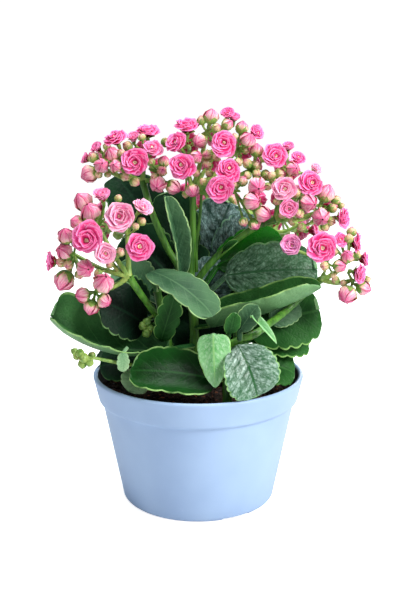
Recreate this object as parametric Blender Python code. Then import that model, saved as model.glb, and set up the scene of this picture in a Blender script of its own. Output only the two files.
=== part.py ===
"""Potted kalanchoe: a double-flowered plant in a round plastic nursery pot.

Units are metres with +Z up.  The origin is the middle of the pot's underside, on the surface it
stands on, and -Y is the plant's front.  Every point of the plant is given in millimetres from the
middle of the soil surface, so the plant rises and sinks with the pot.
"""
import math

import bmesh
import bpy
from mathutils import Matrix, Vector

MM = 0.001

# ---------------------------------------------------------------- driving dimensions
GAP = 0.3 * MM                  # clearance between pieces that touch

POT_RIM_DIAMETER = 120.0 * MM   # over the lip
POT_HEIGHT = 74.0 * MM
POT_BASE_RADIUS = 44.0 * MM     # where the body meets its bottom corner
POT_WALL = 1.2 * MM
POT_FLOOR = 1.5 * MM
POT_RECESS = 2.2 * MM           # hollow under the floor, inside the foot ring
POT_CORNER = 3.0 * MM           # round bottom corner
POT_PAD_RADIUS = 9.0 * MM       # flat middle of the underside, level with the foot ring
FOOT_RING_WIDTH = 3.0 * MM
LIP_WIDTH = 2.7 * MM
COLLAR_HEIGHT = 13.5 * MM       # from the lip's top down to the step
COLLAR_TAPER = 2.7 * MM         # how much narrower the collar is at its foot
STEP_WIDTH = 2.3 * MM           # the collar stands this far out over the body
STEP_HEIGHT = 2.0 * MM
NOTCH_COUNT = 3                 # drainage notches in the foot ring
NOTCH_WIDTH = 17.0 * MM
NOTCH_HEIGHT = 1.5 * MM
NOTCH_FIRST_ANGLE = math.radians(-60.5)
DRAIN_COUNT = 6
DRAIN_DIAMETER = 7.0 * MM
DRAIN_CIRCLE_RADIUS = 26.0 * MM
POT_SIDES = 36
SOIL_SIDES = 24

SOIL_BELOW_RIM = 8.0 * MM
SOIL_CROWN = 1.0 * MM           # the soil is this much higher in the middle
ROOT_DEPTH = 6.0 * MM           # how far the shoots go down into the soil

SHOOT_DIAMETER = 6.0 * MM
SIDE_SHOOT_DIAMETER = 5.0 * MM
STALK_DIAMETER = 4.2 * MM
CLUSTER_STEM_DIAMETER = 2.0 * MM
PEDICEL_DIAMETER = 1.6 * MM
HUB_DIAMETER = 4.6 * MM         # where a head's branches meet, on top of its stalk
LEAF_THICKNESS = 1.3 * MM
LEAF_STALK_WIDTH = 3.6 * MM
BLOOM_DIAMETER = 16.0 * MM      # an open flower of share 1.0
BLOOM_DEPTH_SHARE = 0.6         # a flower's depth over its diameter
BUD_LENGTH_SHARE = 1.15

SOCKET_CLEARANCE = 0.36 * MM    # round a shoot where it stands in the soil
STEP_BULGE_OUT = .7             # the step's round, as a share of its width
STEP_BULGE_UP = .3              # and as a share of its height
NOTCH_DEPTH_SHARE = .25         # how far a notch reaches in, over the base radius
SOIL_LEVEL_SHARE = .6           # the soil is level out to this share of its radius
SOIL_CROWN_SHARE = .3           # and highest inside this one
FOLD_ROUNDING = .02             # how round a folded leaf's midrib is
PEDICEL_SINK = .4               # how far a thin stalk reaches past its ends, in diameters
BRANCH_THICKNESS = 1.4          # a head's branch over its thin stalks
CLUSTER_THINNESS = .8           # a cluster's thin stalks over a head's

# ---------------------------------------------------------------- facets
HEAD_TRIANGLE_SHARE = .55       # of the triangles that joining a head leaves
LEAF_STEPS_ALONG = 6
LEAF_STEPS_ACROSS = 4
LEAF_STALK_STEPS = 1
CURVE_STEPS = 2                 # between two points of a stem
SHOOT_SIDES = 10
STALK_SIDES = 8
CLUSTER_STEM_SIDES = 6
PEDICEL_SIDES = 3
SOCKET_SIDES = 12
DRAIN_SIDES = 8
HUB_FACETS = (8, 6)             # round and along
BLOOM_FACETS = (7, 4)
BUD_FACETS = (5, 3)

# ---------------------------------------------------------------- derived sizes
RIM_RADIUS = POT_RIM_DIAMETER / 2
RIM_INNER_RADIUS = RIM_RADIUS - LIP_WIDTH
COLLAR_FOOT_RADIUS = RIM_RADIUS - COLLAR_TAPER
CREASE_RADIUS = COLLAR_FOOT_RADIUS - STEP_WIDTH
COLLAR_FOOT_Z = POT_HEIGHT - COLLAR_HEIGHT
CREASE_Z = COLLAR_FOOT_Z - STEP_HEIGHT
FLOOR_TOP = POT_RECESS + POT_FLOOR
SOIL_TOP = POT_HEIGHT - SOIL_BELOW_RIM
DESIGN_INNER_RADIUS = 57.3 * MM           # the opening that the leaves at the rim are drawn for
POT_REACH = RIM_INNER_RADIUS / DESIGN_INNER_RADIUS
DESIGN_BLOOM_DIAMETER = 16.0 * MM         # the flower that the heads' places are drawn for
HEAD_SPREAD = .6                # how far heads move apart as their flowers grow, as a share

# ---------------------------------------------------------------- the plant's plan, in millimetres
# Shoots: points from the soil upwards, and a diameter.
SHOOTS = {
    "shoot_main": ([(-3, 4, 0), (-2, 5, 22), (-3, 6, 46), (-4, 5, 60)], SHOOT_DIAMETER),
    "shoot_left": ([(-15, 0, 0), (-17, -2, 24), (-21, -4, 45), (-23, -5, 56)], SIDE_SHOOT_DIAMETER),
    "shoot_front": ([(16, -44, 0), (15, -43, 18), (15, -42, 30), (16, -41, 37)], SIDE_SHOOT_DIAMETER),
    "shoot_right": ([(20, -10, 0), (22, -14, 24), (21, -16, 40)], SIDE_SHOOT_DIAMETER),
    "shoot_back": ([(0, 26, 0), (1, 29, 24), (-1, 31, 46), (0, 32, 58)], SIDE_SHOOT_DIAMETER),
}

# Flower stalks: the shoot they grow from, points on the way, and the head they carry.
STALKS = {
    "stalk_top": ("shoot_main", [(-4, 5, 66), (-3, 5, 86), (-3, 6, 100)], "head_top"),
    "stalk_upper_left": ("shoot_main", [(-4, 5, 56), (-11, 9, 67), (-18, 8, 79), (-26, 6, 99)],
                         "head_upper_left"),
    "stalk_upper_right": ("shoot_main", [(-4, 5, 54), (3, 4, 65), (13, 4, 76), (29, 2, 89)],
                          "head_upper_right"),
    "stalk_lower_left": ("shoot_left", [(-18, -3, 36), (-18, -10, 40), (-24, -21, 48), (-31, -32, 61)],
                         "head_lower_left"),
    "stalk_lower_right": ("shoot_front", [(16, -41, 36), (23, -42, 38), (30, -42, 41), (37, -35, 44),
                                          (49, -17, 48), (60, -12, 57)], "head_lower_right"),
    "stalk_back_left": ("shoot_back", [(0, 32, 52), (-8, 38, 62), (-20, 42, 70), (-34, 45, 77)],
                        "head_back_left"),
    "stalk_back_right": ("shoot_back", [(0, 32, 48), (8, 37, 60), (20, 41, 69), (38, 45, 77)],
                         "head_back_right"),
    "stalk_back": ("shoot_back", [(0, 32, 62), (1, 42, 70), (2, 54, 78)], "head_back"),
}

# Leaves: what they grow from and how high on it, foot of the blade, tip, width, upward side,
# fold in degrees, bow.
LEAVES = {
    "leaf_left_long": ("shoot_main", 22, (-17, -20, 26), (-80, -26, 46), 38, (0, -.5, .87), 36, -11),
    "leaf_left_dark": ("shoot_left", 40, (-30, -12, 38), (-53, -28, 56), 32, (.2, -.85, .5), 8, 3),
    "leaf_left_mid": ("shoot_left", 45, (-30, -7, 44), (-50, -13, 58), 30, (0, -.9, .45), 8, 2),
    "leaf_left_upper": ("shoot_left", 50, (-30, 1, 52), (-44, 4, 70), 27, (.1, -.9, .45), 10, 2),
    "leaf_left_back": ("shoot_main", 40, (-17, 13, 62), (-42, 16, 84), 34, (.1, -.95, .3), 8, 3),
    "leaf_upper_left": ("shoot_main", 47, (-16, 25, 70), (-48, 39, 116), 34, (.2, -.9, .3), 10, 2),
    "leaf_upper_mid": ("shoot_main", 52, (-7, 21, 68), (-18, 30, 107), 28, (.1, -.95, .2), 12, 2),
    "leaf_folded_upright": ("shoot_main", 51, (-10, -3, 64), (-18, -6, 109), 17, (.3, -.9, .2), 26, 2),
    "leaf_front_droop": ("shoot_left", 55, (-26, -14, 68), (8, -40, 50), 26, (.2, -.4, .9), 12, 4),
    "leaf_middle_left": ("shoot_main", 27, (-5, 17, 23), (-37, 21, 58), 38, (.15, -.95, .2), 8, 2),
    "leaf_middle_right": ("shoot_main", 17, (4, 14, 19), (34, 19, 50), 36, (-.1, -.95, .2), 8, 2),
    "leaf_left_scallop": ("shoot_left", 29, (-20, -24, 33), (-12, -31, 60), 14, (0, -1, .2), 10, 1),
    "leaf_front_big": ("shoot_front", 16, (9, -44, 16), (-36, -40, 20), 29, (0, -.66, .75), -4, 3),
    "leaf_pot_left_pale": ("shoot_left", 8, (-26, -21, 13), (-37, -35, 7), 21, (-.3, -.75, .6), 4, 2),
    "leaf_pot_left": ("shoot_left", 6, (-32, -6, 11), (-55, -12, 14), 27, (-.2, -.6, .7), 6, 3),
    "leaf_pot_left_back": ("shoot_left", 13, (-33, 9, 14), (-59, 12, 14), 24, (0, -.05, 1), 4, 1),
    "leaf_pot_right": ("shoot_right", 14, (30, -14, 16), (54, -13, 10), 28, (.2, -.6, .75), 6, 3),
    "leaf_front_quilted": ("shoot_front", 30, (21, -46, 35), (31, -49, 9), 33, (.15, -.8, .55), 14, 4),
    "leaf_front_hanging": ("shoot_front", 34, (8, -47, 42), (9, -53, 15), 19, (-.1, -.95, .25), -20, 1),
    "leaf_tip_left": ("shoot_front", 35, (16, -45, 42), (19, -48, 54), 9, (.3, -.9, .5), 10, 1),
    "leaf_tip_right": ("stalk_lower_right", 38.5, (22, -43, 43), (31, -45, 57), 12, (-.1, -.9, .5), 10, 1),
    "leaf_right_small": ("stalk_lower_right", 44, (40, -17, 41), (56, -9.5, 49), 15, (.1, -.9, .4), 4, 0),
    "leaf_right_big": ("shoot_right", 38, (28, -11, 38), (68, -6, 45), 37, (.1, -.95, .3), 6, 2),
    "leaf_right_under": ("shoot_right", 28, (30, -9, 29), (63, 0, 25), 26, (.1, -.75, .65), 6, 2),
    "leaf_right_glossy": ("shoot_main", 43, (16, 11, 61), (68, 9, 65), 33, (0, -.85, .53), 10, 4),
    "leaf_right_long": ("shoot_main", 32, (7, -9, 37), (66, -28, 63), 36, (0, -.15, .99), 48, -3),
    "leaf_right_upper": ("shoot_main", 46, (11, 20, 65), (49, 29, 80), 27, (-.2, -.8, .55), 10, 2),
    "leaf_back_upper": ("shoot_main", 60, (3, 31, 62), (19, 50, 98), 36, (.1, -.95, .2), 10, 2),
    "leaf_back_right": ("shoot_main", 53, (11, 29, 68), (37, 40, 88), 28, (-.1, -.95, .3), 10, 2),
    "leaf_rear_left_low": ("shoot_back", 18, (-18, 32, 20), (-58, 48, 16), 36, (-.1, .2, 1), 12, 4),
    "leaf_rear_right_low": ("shoot_back", 18, (18, 32, 20), (58, 46, 18), 36, (.1, .2, 1), 12, 4),
    "leaf_rear_low": ("shoot_back", 20, (2, 42, 22), (6, 82, 14), 38, (0, .3, 1), 14, 4),
    "leaf_rear_left": ("shoot_back", 38, (-14, 36, 42), (-50, 62, 48), 36, (-.3, .3, .9), 14, 4),
    "leaf_rear_right": ("shoot_back", 38, (14, 36, 42), (52, 60, 46), 36, (.3, .3, .9), 14, 4),
}
# A blade is widest at this share of its length.
LEAF_PEAKS = {
    "leaf_upper_left": .6,
    "leaf_upper_mid": .6,
    "leaf_front_droop": .6,
    "leaf_front_big": .5,
    "leaf_front_hanging": .25,
    "leaf_right_long": .38,
}
LEAF_PEAK = .55
LEAVES_AT_RIM = (
    "leaf_front_big",
    "leaf_pot_left_pale",
    "leaf_pot_left",
    "leaf_pot_left_back",
    "leaf_pot_right",
    "leaf_front_quilted",
    "leaf_front_hanging",
    "leaf_right_under",
)

# Heads: hub, branch points, flowers (x, y, z, share of BLOOM_DIAMETER), buds (x, y, z, diameter).
HEADS = {
    "head_upper_left": dict(
        hub=(-31, 8, 116),
        branches=[(-43, 8, 124), (-30, 10, 132), (-54, 6, 124), (-21, 6, 121)],
        blooms=[(-34, -2, 127, 1.05), (-45, 6, 139, .9), (-28, 14, 142, .85), (-25, 2, 134, .8),
                (-56, 8, 134, .6), (-62, 10, 128, .6)],
        buds=[(-47, 2, 131, 7.5), (-53, 0, 125, 7.5), (-45, -2, 125, 6.5), (-60, 4, 120, 9),
              (-19, 4, 127, 6), (-22, 0, 115, 8.5), (-14, 4, 113, 7.5)]),
    "head_top": dict(
        hub=(-3, 6, 111),
        branches=[(-7, 8, 129), (8, 8, 133), (21, 8, 132), (20, 0, 111), (30, 4, 123)],
        blooms=[(14, -4, 137, 1.0), (-8, -8, 125, 1.05), (-12, 0, 137, .9), (-6, 10, 145, 1.0),
                (16, -8, 123, .95), (12, -12, 114, 1.05), (18, 12, 150, .7), (32, 10, 142, .7)],
        buds=[(7, 10, 151, 8), (1, 4, 138, 7.5), (24, 8, 145, 6.5), (27, 2, 139, 8), (32, 4, 133, 7),
              (-3, -4, 112, 7), (32, -8, 115, 9), (29, -10, 107, 9), (35, -8, 100, 8.5),
              (31, -6, 95, 6.5)]),
    "head_upper_right": dict(
        hub=(43, 2, 95),
        branches=[(45, 2, 113), (56, 0, 109), (66, -2, 100), (50, 6, 123)],
        blooms=[(42, 0, 130, .95), (55, 6, 128, .65), (46, -10, 114, 1.0), (60, -6, 116, 1.0),
                (49, -12, 103, .9), (65, 6, 123, .6), (79, -4, 98, .85)],
        buds=[(50, 12, 134, 8), (52, 0, 123, 7), (60, -8, 106, 9), (70, -2, 110, 9), (67, -8, 99, 9),
              (76, 0, 106, 5), (55, -10, 99, 5)]),
    "head_lower_left": dict(
        hub=(-36, -38, 71),
        branches=[(-45, -36, 78), (-52, -34, 97), (-65, -34, 82), (-54, -38, 63), (-37, -34, 92)],
        blooms=[(-55, -48, 94, 1.2), (-39, -46, 104, 1.15), (-29, -38, 107, .75), (-47, -50, 86, .9),
                (-30, -44, 88, 1.0), (-49, -38, 113, .75), (-76, -38, 79, .8)],
        buds=[(-59, -38, 110, 9), (-55, -42, 105, 9.5), (-68, -42, 93, 8), (-69, -42, 85, 8),
              (-58, -46, 77, 8.5), (-70, -38, 69, 10), (-49, -46, 69, 10), (-60, -42, 62, 7.5),
              (-56, -40, 55, 7.5), (-49, -42, 59, 7)]),
    "head_lower_right": dict(
        hub=(67, -17, 65),
        branches=[(69, -24, 76), (80, -23, 76), (83, -23, 66)],
        blooms=[(64, -36, 87, 1.1), (50, -30, 86, .95), (75, -26, 88, .65), (84, -22, 86, .8),
                (85, -28, 72, .8), (89, -20, 77, .65)],
        buds=[(79, -30, 80, 6.5), (75, -30, 75, 6.5), (80, -28, 59, 9.5), (89, -24, 62, 7.5)]),
    "head_back_left": dict(
        hub=(-40, 46, 81),
        branches=[(-48, 48, 90), (-34, 54, 92), (-54, 40, 86)],
        blooms=[(-48, 56, 98, 1.0), (-60, 46, 92, 1.0), (-34, 62, 98, .95), (-44, 64, 84, 1.0),
                (-62, 36, 82, .8), (-58, 58, 80, .9)],
        buds=[(-28, 56, 90, 7), (-36, 66, 88, 8), (-66, 50, 80, 8), (-52, 60, 90, 6.5)]),
    "head_back_right": dict(
        hub=(44, 46, 81),
        branches=[(50, 48, 90), (36, 54, 92), (60, 40, 86)],
        blooms=[(50, 56, 97, 1.0), (62, 46, 92, 1.0), (36, 62, 98, .95), (46, 66, 84, 1.0),
                (68, 34, 84, .8), (62, 58, 80, .9)],
        buds=[(30, 56, 90, 7), (38, 68, 88, 8), (72, 48, 82, 8), (56, 62, 92, 6.5)]),
    "head_back": dict(
        hub=(3, 62, 85),
        branches=[(-6, 64, 94), (10, 66, 94)],
        blooms=[(-6, 70, 102, 1.05), (10, 72, 102, 1.0), (2, 80, 92, 1.05), (-14, 74, 90, .9),
                (18, 76, 90, .9)],
        buds=[(2, 66, 107, 8), (-18, 68, 98, 7), (22, 68, 98, 7), (8, 82, 82, 8), (-6, 82, 82, 7)]),
}

# Small green bud clusters: stem points and buds (x, y, z, diameter).
CLUSTERS = {
    "cluster_low_left": dict(
        stem=[(-19, -6, 13), (-24, -16, 16), (-30, -27, 19), (-42, -35, 23), (-56, -39, 27)],
        buds=[(-63, -38, 29, 4.5), (-61, -39, 27, 5), (-62, -37, 23, 4.5), (-65, -35, 27, 4)]),
    "cluster_green": dict(
        stem=[(-25, -12, 43), (-28, -16, 42), (-29, -19, 39)],
        buds=[(-30, -21, 40, 4.5), (-28, -21, 42, 4), (-28, -22, 36, 4.5)]),
}


# ---------------------------------------------------------------- materials
def material(name, colour, roughness):
    """A plain Principled material."""
    made = bpy.data.materials.new(name)
    made.use_nodes = True
    shader = made.node_tree.nodes["Principled BSDF"]
    shader.inputs["Base Color"].default_value = (*colour, 1)
    shader.inputs["Roughness"].default_value = roughness
    shader.inputs["Metallic"].default_value = 0
    return made


# ---------------------------------------------------------------- helpers
def place(point):
    """A plan point in millimetres above the soil, as a world position."""
    x, y, z = point
    return Vector((x * MM, y * MM, SOIL_TOP + z * MM))


def add_object(name, bm, finish):
    """Turn a bmesh into a named object with outward faces."""
    bmesh.ops.recalc_face_normals(bm, faces=bm.faces[:])
    if bm.calc_volume(signed=True) < 0:
        bmesh.ops.reverse_faces(bm, faces=bm.faces[:])
    mesh = bpy.data.meshes.new(name)
    bm.to_mesh(mesh)
    bm.free()
    mesh.shade_smooth()
    mesh.set_sharp_from_angle(angle=math.radians(40))
    mesh.materials.append(finish)
    made = bpy.data.objects.new(name, mesh)
    bpy.context.scene.collection.objects.link(made)
    return made


def make_cutter(name, bm):
    """An object that only cuts others."""
    made = add_object(name, bm, MATERIALS["pot"])
    made.hide_render = True
    made.display_type = "WIRE"
    return made


def add_boolean(target, other, operation, solver="EXACT"):
    """Cut or join one object with another."""
    modifier = target.modifiers.new(other.name, "BOOLEAN")
    modifier.operation = operation
    modifier.solver = solver
    modifier.object = other


def smooth_path(points, steps):
    """Points on a smooth curve through the given ones (Catmull-Rom)."""
    ends = [points[0] * 2 - points[1]] + points + [points[-1] * 2 - points[-2]]
    path = []
    for i in range(1, len(ends) - 2):
        before, start, end, after = ends[i - 1:i + 3]
        for step in range(steps):
            t = step / steps
            path.append(0.5 * (2 * start + (end - before) * t
                               + (2 * before - 5 * start + 4 * end - after) * t * t
                               + (3 * start - before - 3 * end + after) * t * t * t))
    path.append(points[-1].copy())
    return path


def add_tube(bm, path, diameter, sides):
    """A round closed tube along a path."""
    rings = []
    for i, point in enumerate(path):
        ahead = path[min(i + 1, len(path) - 1)] - path[max(i - 1, 0)]
        turn = ahead.to_track_quat("Z", "Y").to_matrix().to_4x4()
        ring = bmesh.ops.create_circle(bm, cap_ends=False, radius=diameter / 2, segments=sides,
                                       matrix=Matrix.Translation(point) @ turn)
        rings.append(ring["verts"])
    for low, high in zip(rings, rings[1:]):
        edges = {edge for vert in low + high for edge in vert.link_edges
                 if edge.verts[0] in low + high and edge.verts[1] in low + high}
        bmesh.ops.bridge_loops(bm, edges=list(edges))
    for ring in (rings[0], rings[-1]):
        bmesh.ops.contextual_create(bm, geom=ring)


def add_ball(bm, centre, width, length, axis, sides, rings):
    """A closed ellipsoid whose length lies along an axis."""
    turn = axis.to_track_quat("Z", "Y").to_matrix().to_4x4()
    size = Matrix.Diagonal((width / 2, width / 2, length / 2, 1))
    bmesh.ops.create_uvsphere(bm, u_segments=sides, v_segments=rings, radius=1,
                              matrix=Matrix.Translation(centre) @ turn @ size)


# ---------------------------------------------------------------- pot
def pot_inner_radius(height):
    """The inside radius of the pot at a height, below the lip."""
    body_top = CREASE_RADIUS - POT_WALL
    body_foot = POT_BASE_RADIUS - POT_WALL
    collar_foot = COLLAR_FOOT_RADIUS - POT_WALL
    levels = [(FLOOR_TOP, body_foot), (CREASE_Z, body_top), (COLLAR_FOOT_Z, collar_foot),
              (POT_HEIGHT, RIM_INNER_RADIUS)]
    for (low, radius_low), (high, radius_high) in zip(levels, levels[1:]):
        if height <= high:
            return radius_low + (radius_high - radius_low) * (height - low) / (high - low)
    return RIM_INNER_RADIUS


def spin_profile(profile, sides):
    """A closed turned solid from a profile that starts and ends on the axis."""
    bm = bmesh.new()
    verts = [bm.verts.new((radius, 0, height)) for radius, height in profile]
    edges = [bm.edges.new(pair) for pair in zip(verts, verts[1:])]
    bmesh.ops.spin(bm, geom=verts + edges, cent=(0, 0, 0), axis=(0, 0, 1), angle=math.tau,
                   steps=sides, use_merge=True)
    bmesh.ops.remove_doubles(bm, verts=bm.verts[:], dist=0.00001)
    return bm


def pot_profile():
    """The pot's section, from the middle of the underside round the outside to the floor."""
    ring_outer = POT_BASE_RADIUS - POT_CORNER
    ring_inner = ring_outer - FOOT_RING_WIDTH
    outside = [(0, 0), (POT_PAD_RADIUS, 0), (POT_PAD_RADIUS, POT_RECESS),
               (ring_inner, POT_RECESS), (ring_inner, 0), (ring_outer, 0)]
    for step in range(1, 3):
        turn = math.radians(45 * step)
        outside.append((ring_outer + POT_CORNER * math.sin(turn), POT_CORNER * (1 - math.cos(turn))))
    outside += [(CREASE_RADIUS, CREASE_Z),
                (CREASE_RADIUS + STEP_WIDTH * STEP_BULGE_OUT, CREASE_Z + STEP_HEIGHT * STEP_BULGE_UP),
                (COLLAR_FOOT_RADIUS, COLLAR_FOOT_Z),
                (RIM_RADIUS, POT_HEIGHT - LIP_WIDTH / 2)]
    middle = RIM_RADIUS - LIP_WIDTH / 2
    for step in range(1, 4):
        turn = math.radians(45 * step)
        outside.append((middle + LIP_WIDTH / 2 * math.cos(turn),
                        POT_HEIGHT - LIP_WIDTH / 2 * (1 - math.sin(turn))))
    inside = [(RIM_INNER_RADIUS, POT_HEIGHT - LIP_WIDTH / 2)]
    for height in (COLLAR_FOOT_Z, CREASE_Z, FLOOR_TOP):
        inside.append((pot_inner_radius(height), height))
    inside.append((0, FLOOR_TOP))
    return outside + inside


def make_pot():
    """The nursery pot, with notches in its foot ring and drain holes in its floor."""
    pot = add_object("pot", spin_profile(pot_profile(), POT_SIDES), MATERIALS["pot"])
    cutter = bmesh.new()
    for count in range(NOTCH_COUNT):
        angle = NOTCH_FIRST_ANGLE + math.tau * count / NOTCH_COUNT
        size = (POT_BASE_RADIUS * NOTCH_DEPTH_SHARE * 2, NOTCH_WIDTH, NOTCH_HEIGHT * 2, 1)
        at_ring = Matrix.Rotation(angle, 4, "Z") @ Matrix.Translation((POT_BASE_RADIUS, 0, 0))
        bmesh.ops.create_cube(cutter, size=1, matrix=at_ring @ Matrix.Diagonal(size))
    for count in range(DRAIN_COUNT):
        angle = math.tau * (count + .5) / DRAIN_COUNT
        middle = Vector((DRAIN_CIRCLE_RADIUS * math.cos(angle),
                         DRAIN_CIRCLE_RADIUS * math.sin(angle), POT_RECESS))
        bmesh.ops.create_cone(cutter, cap_ends=True, segments=DRAIN_SIDES, radius1=DRAIN_DIAMETER / 2,
                              radius2=DRAIN_DIAMETER / 2, depth=POT_FLOOR * 4,
                              matrix=Matrix.Translation(middle))
    add_boolean(pot, make_cutter("pot_cutter", cutter), "DIFFERENCE")
    return pot


# ---------------------------------------------------------------- soil
def make_potting_mix():
    """The soil, as wide as the pot's inside, with a hole where each shoot goes in."""
    edge = pot_inner_radius(SOIL_TOP) - GAP
    profile = [(0, FLOOR_TOP + GAP), (pot_inner_radius(FLOOR_TOP) - GAP * 2, FLOOR_TOP + GAP),
               (pot_inner_radius(CREASE_Z) - GAP * 2, CREASE_Z),
               (pot_inner_radius(COLLAR_FOOT_Z) - GAP * 2, COLLAR_FOOT_Z + GAP),
               (edge, SOIL_TOP - SOIL_CROWN), (edge * SOIL_LEVEL_SHARE, SOIL_TOP),
               (edge * SOIL_CROWN_SHARE, SOIL_TOP + SOIL_CROWN), (0, SOIL_TOP + SOIL_CROWN)]
    soil = add_object("potting_mix", spin_profile(profile, SOIL_SIDES), MATERIALS["soil"])
    cutter = bmesh.new()
    for points, diameter in SHOOTS.values():
        foot = place(points[0])
        top = foot + Vector((0, 0, SOIL_CROWN * 4))
        low = foot - Vector((0, 0, ROOT_DEPTH + GAP))
        add_tube(cutter, [low, top], diameter + SOCKET_CLEARANCE * 2, SOCKET_SIDES)
    add_boolean(soil, make_cutter("soil_cutter", cutter), "DIFFERENCE")
    return soil


# ---------------------------------------------------------------- shoots and stalks
def make_shoot(name, points, diameter):
    """A shoot that stands upright in the soil and then follows its points."""
    path = [place(point) for point in points]
    foot = path[0] - Vector((0, 0, ROOT_DEPTH))
    path[0] = path[0] + Vector((0, 0, SOIL_CROWN * 4))
    curve = [foot] + smooth_path(path, CURVE_STEPS)
    STEM_CURVES[name] = (curve, diameter / 2)
    bm = bmesh.new()
    add_tube(bm, curve, diameter, SHOOT_SIDES)
    return add_object(name, bm, MATERIALS["stem"])


def attachment(stem, height, towards, half_depth):
    """Where a piece starts that grows from a stem at a height and heads towards a point.

    The start lies just outside the stem's surface, with a gap for the piece's own half depth.
    """
    curve, radius = STEM_CURVES[stem]
    level = SOIL_TOP + height
    index = next((i for i in range(1, len(curve)) if curve[i].z >= level), len(curve) - 1)
    low, high = curve[index - 1:index + 1]
    spot = low.lerp(high, min(max((level - low.z) / (high.z - low.z), 0), 1))
    line = (high - low).normalized()
    aim = (towards - spot).normalized()
    lean = abs(aim.dot(line))
    slope = math.sqrt(max(1 - lean * lean, .01))
    return spot + aim * (radius + GAP + half_depth * lean) / slope


def head_shift(plan):
    """How far a head moves outwards to make room for flowers larger than its plan's."""
    x, y, _ = plan["hub"]
    growth = (BLOOM_DIAMETER / DESIGN_BLOOM_DIAMETER - 1) * HEAD_SPREAD
    return Vector((x * MM, y * MM, 0)) * growth


def make_stalk(name, shoot, points, head):
    """A flower stalk from its shoot to just under its head's hub."""
    path = [place(point) for point in points]
    shoot_curve, shoot_radius = STEM_CURVES[shoot]
    below, top = shoot_curve[-2:]
    if path[0].z > top.z:
        aim = (path[1] - top).normalized()
        tilt = aim.cross((top - below).normalized()).length
        path[0] = top + aim * (GAP + tilt * shoot_radius)
    else:
        height = path[0].z - SOIL_TOP
        path[0] = attachment(shoot, height, path[1], STALK_DIAMETER / 2)
    hub = place(HEADS[head]["hub"]) + head_shift(HEADS[head])
    path.append(hub + (path[-1] - hub).normalized() * (HUB_DIAMETER / 2 + GAP))
    curve = smooth_path(path, CURVE_STEPS)
    STEM_CURVES[name] = (curve, STALK_DIAMETER / 2)
    bm = bmesh.new()
    add_tube(bm, curve, STALK_DIAMETER, STALK_SIDES)
    return add_object(name, bm, MATERIALS["stem"])


# ---------------------------------------------------------------- leaves
def blade_share(u, peak):
    """Half width of a blade, as a share of its greatest, at the share u of its length."""
    u = min(max(u, .000001), .999999)
    rise, fall = peak, 1 - peak
    return (u ** rise * (1 - u) ** fall) / (rise ** rise * fall ** fall)


def leaf_point(plan, along, across):
    """A point of a leaf's middle surface: along runs 0 to 1, across runs -1 to 1."""
    start, foot, tip, width, upward, fold, bow, peak = plan
    axis = (tip - foot).normalized()
    up = (upward - axis * axis.dot(upward)).normalized()
    side = axis.cross(up)
    stalk_share = LEAF_STALK_STEPS / LEAF_STEPS_ALONG
    if along < stalk_share:
        run = (foot - start).normalized()
        square = run.cross(up - run * run.dot(up)).normalized()
        side = square.lerp(side, along / stalk_share).normalized()
        centre = start.lerp(foot, along / stalk_share)
        half = LEAF_STALK_WIDTH / 2
        lift = 0
    else:
        u = (along - stalk_share) / (1 - stalk_share)
        centre = foot.lerp(tip, u) + up * bow * 4 * u * (1 - u)
        least = LEAF_STALK_WIDTH / 2 if u < .5 else LEAF_THICKNESS / 2
        half = max(least, width / 2 * blade_share(u, peak))
        lift = math.radians(fold)
    rounded = math.sqrt(across * across + FOLD_ROUNDING) - math.sqrt(FOLD_ROUNDING)
    return centre + side * half * across * math.cos(lift) + up * half * rounded * math.sin(lift)


def add_leaf(bm, plan):
    """A closed blade of even thickness, from a grid bent into the leaf's shape."""
    grid = bmesh.ops.create_grid(bm, x_segments=LEAF_STEPS_ALONG, y_segments=LEAF_STEPS_ACROSS, size=.5)
    upper = grid["verts"]
    faces = list({face for vert in upper for face in vert.link_faces})
    made = bmesh.ops.extrude_face_region(bm, geom=faces, use_keep_orig=True)
    lower = [item for item in made["geom"] if isinstance(item, bmesh.types.BMVert)]
    step = .01
    for verts, sign in ((upper, 1), (lower, -1)):
        for vert in verts:
            along = vert.co.x + .5
            across = vert.co.y * 2
            back, ahead = max(along - step, 0), min(along + step, 1)
            tangent = leaf_point(plan, ahead, across) - leaf_point(plan, back, across)
            width = leaf_point(plan, along, across + step) - leaf_point(plan, along, across - step)
            normal = width.cross(tangent).normalized()
            vert.co = leaf_point(plan, along, across) + normal * sign * LEAF_THICKNESS / 2


def make_leaf(name, plan):
    """One leaf with its stalk."""
    stem, height, foot, tip, width, upward, fold, bow = plan
    reach = POT_REACH if name in LEAVES_AT_RIM else 1
    inside = Matrix.Diagonal((reach, reach, 1))
    foot, tip = inside @ place(foot), inside @ place(tip)
    start = attachment(stem, height * MM, foot, LEAF_STALK_WIDTH / 2)
    bm = bmesh.new()
    add_leaf(bm, (start, foot, tip, width * MM, Vector(upward), fold, bow * MM,
                  LEAF_PEAKS.get(name, LEAF_PEAK)))
    return add_object(name, bm, MATERIALS["leaf"])


# ---------------------------------------------------------------- flower heads
def nearest(points, spot):
    """The point that lies closest to a spot."""
    return min(points, key=lambda point: (point - spot).length)


def unite(name, parts, finish):
    """One solid from overlapping closed parts, joined by a Boolean union."""
    base = add_object(name, parts[0], finish)
    for count, part in enumerate(parts[1:]):
        other = make_cutter(f"{name}_part_{count}", part)
        add_boolean(base, other, "UNION", "MANIFOLD")
    thin = base.modifiers.new("thin_out", "DECIMATE")
    thin.decimate_type = "COLLAPSE"
    thin.ratio = HEAD_TRIANGLE_SHARE
    return base


def pedicel(start, end, diameter):
    """A thin stalk that reaches a little past both its ends."""
    bm = bmesh.new()
    reach = (end - start).normalized() * diameter * PEDICEL_SINK
    add_tube(bm, [start - reach, end + reach], diameter, PEDICEL_SIDES)
    return bm


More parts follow.
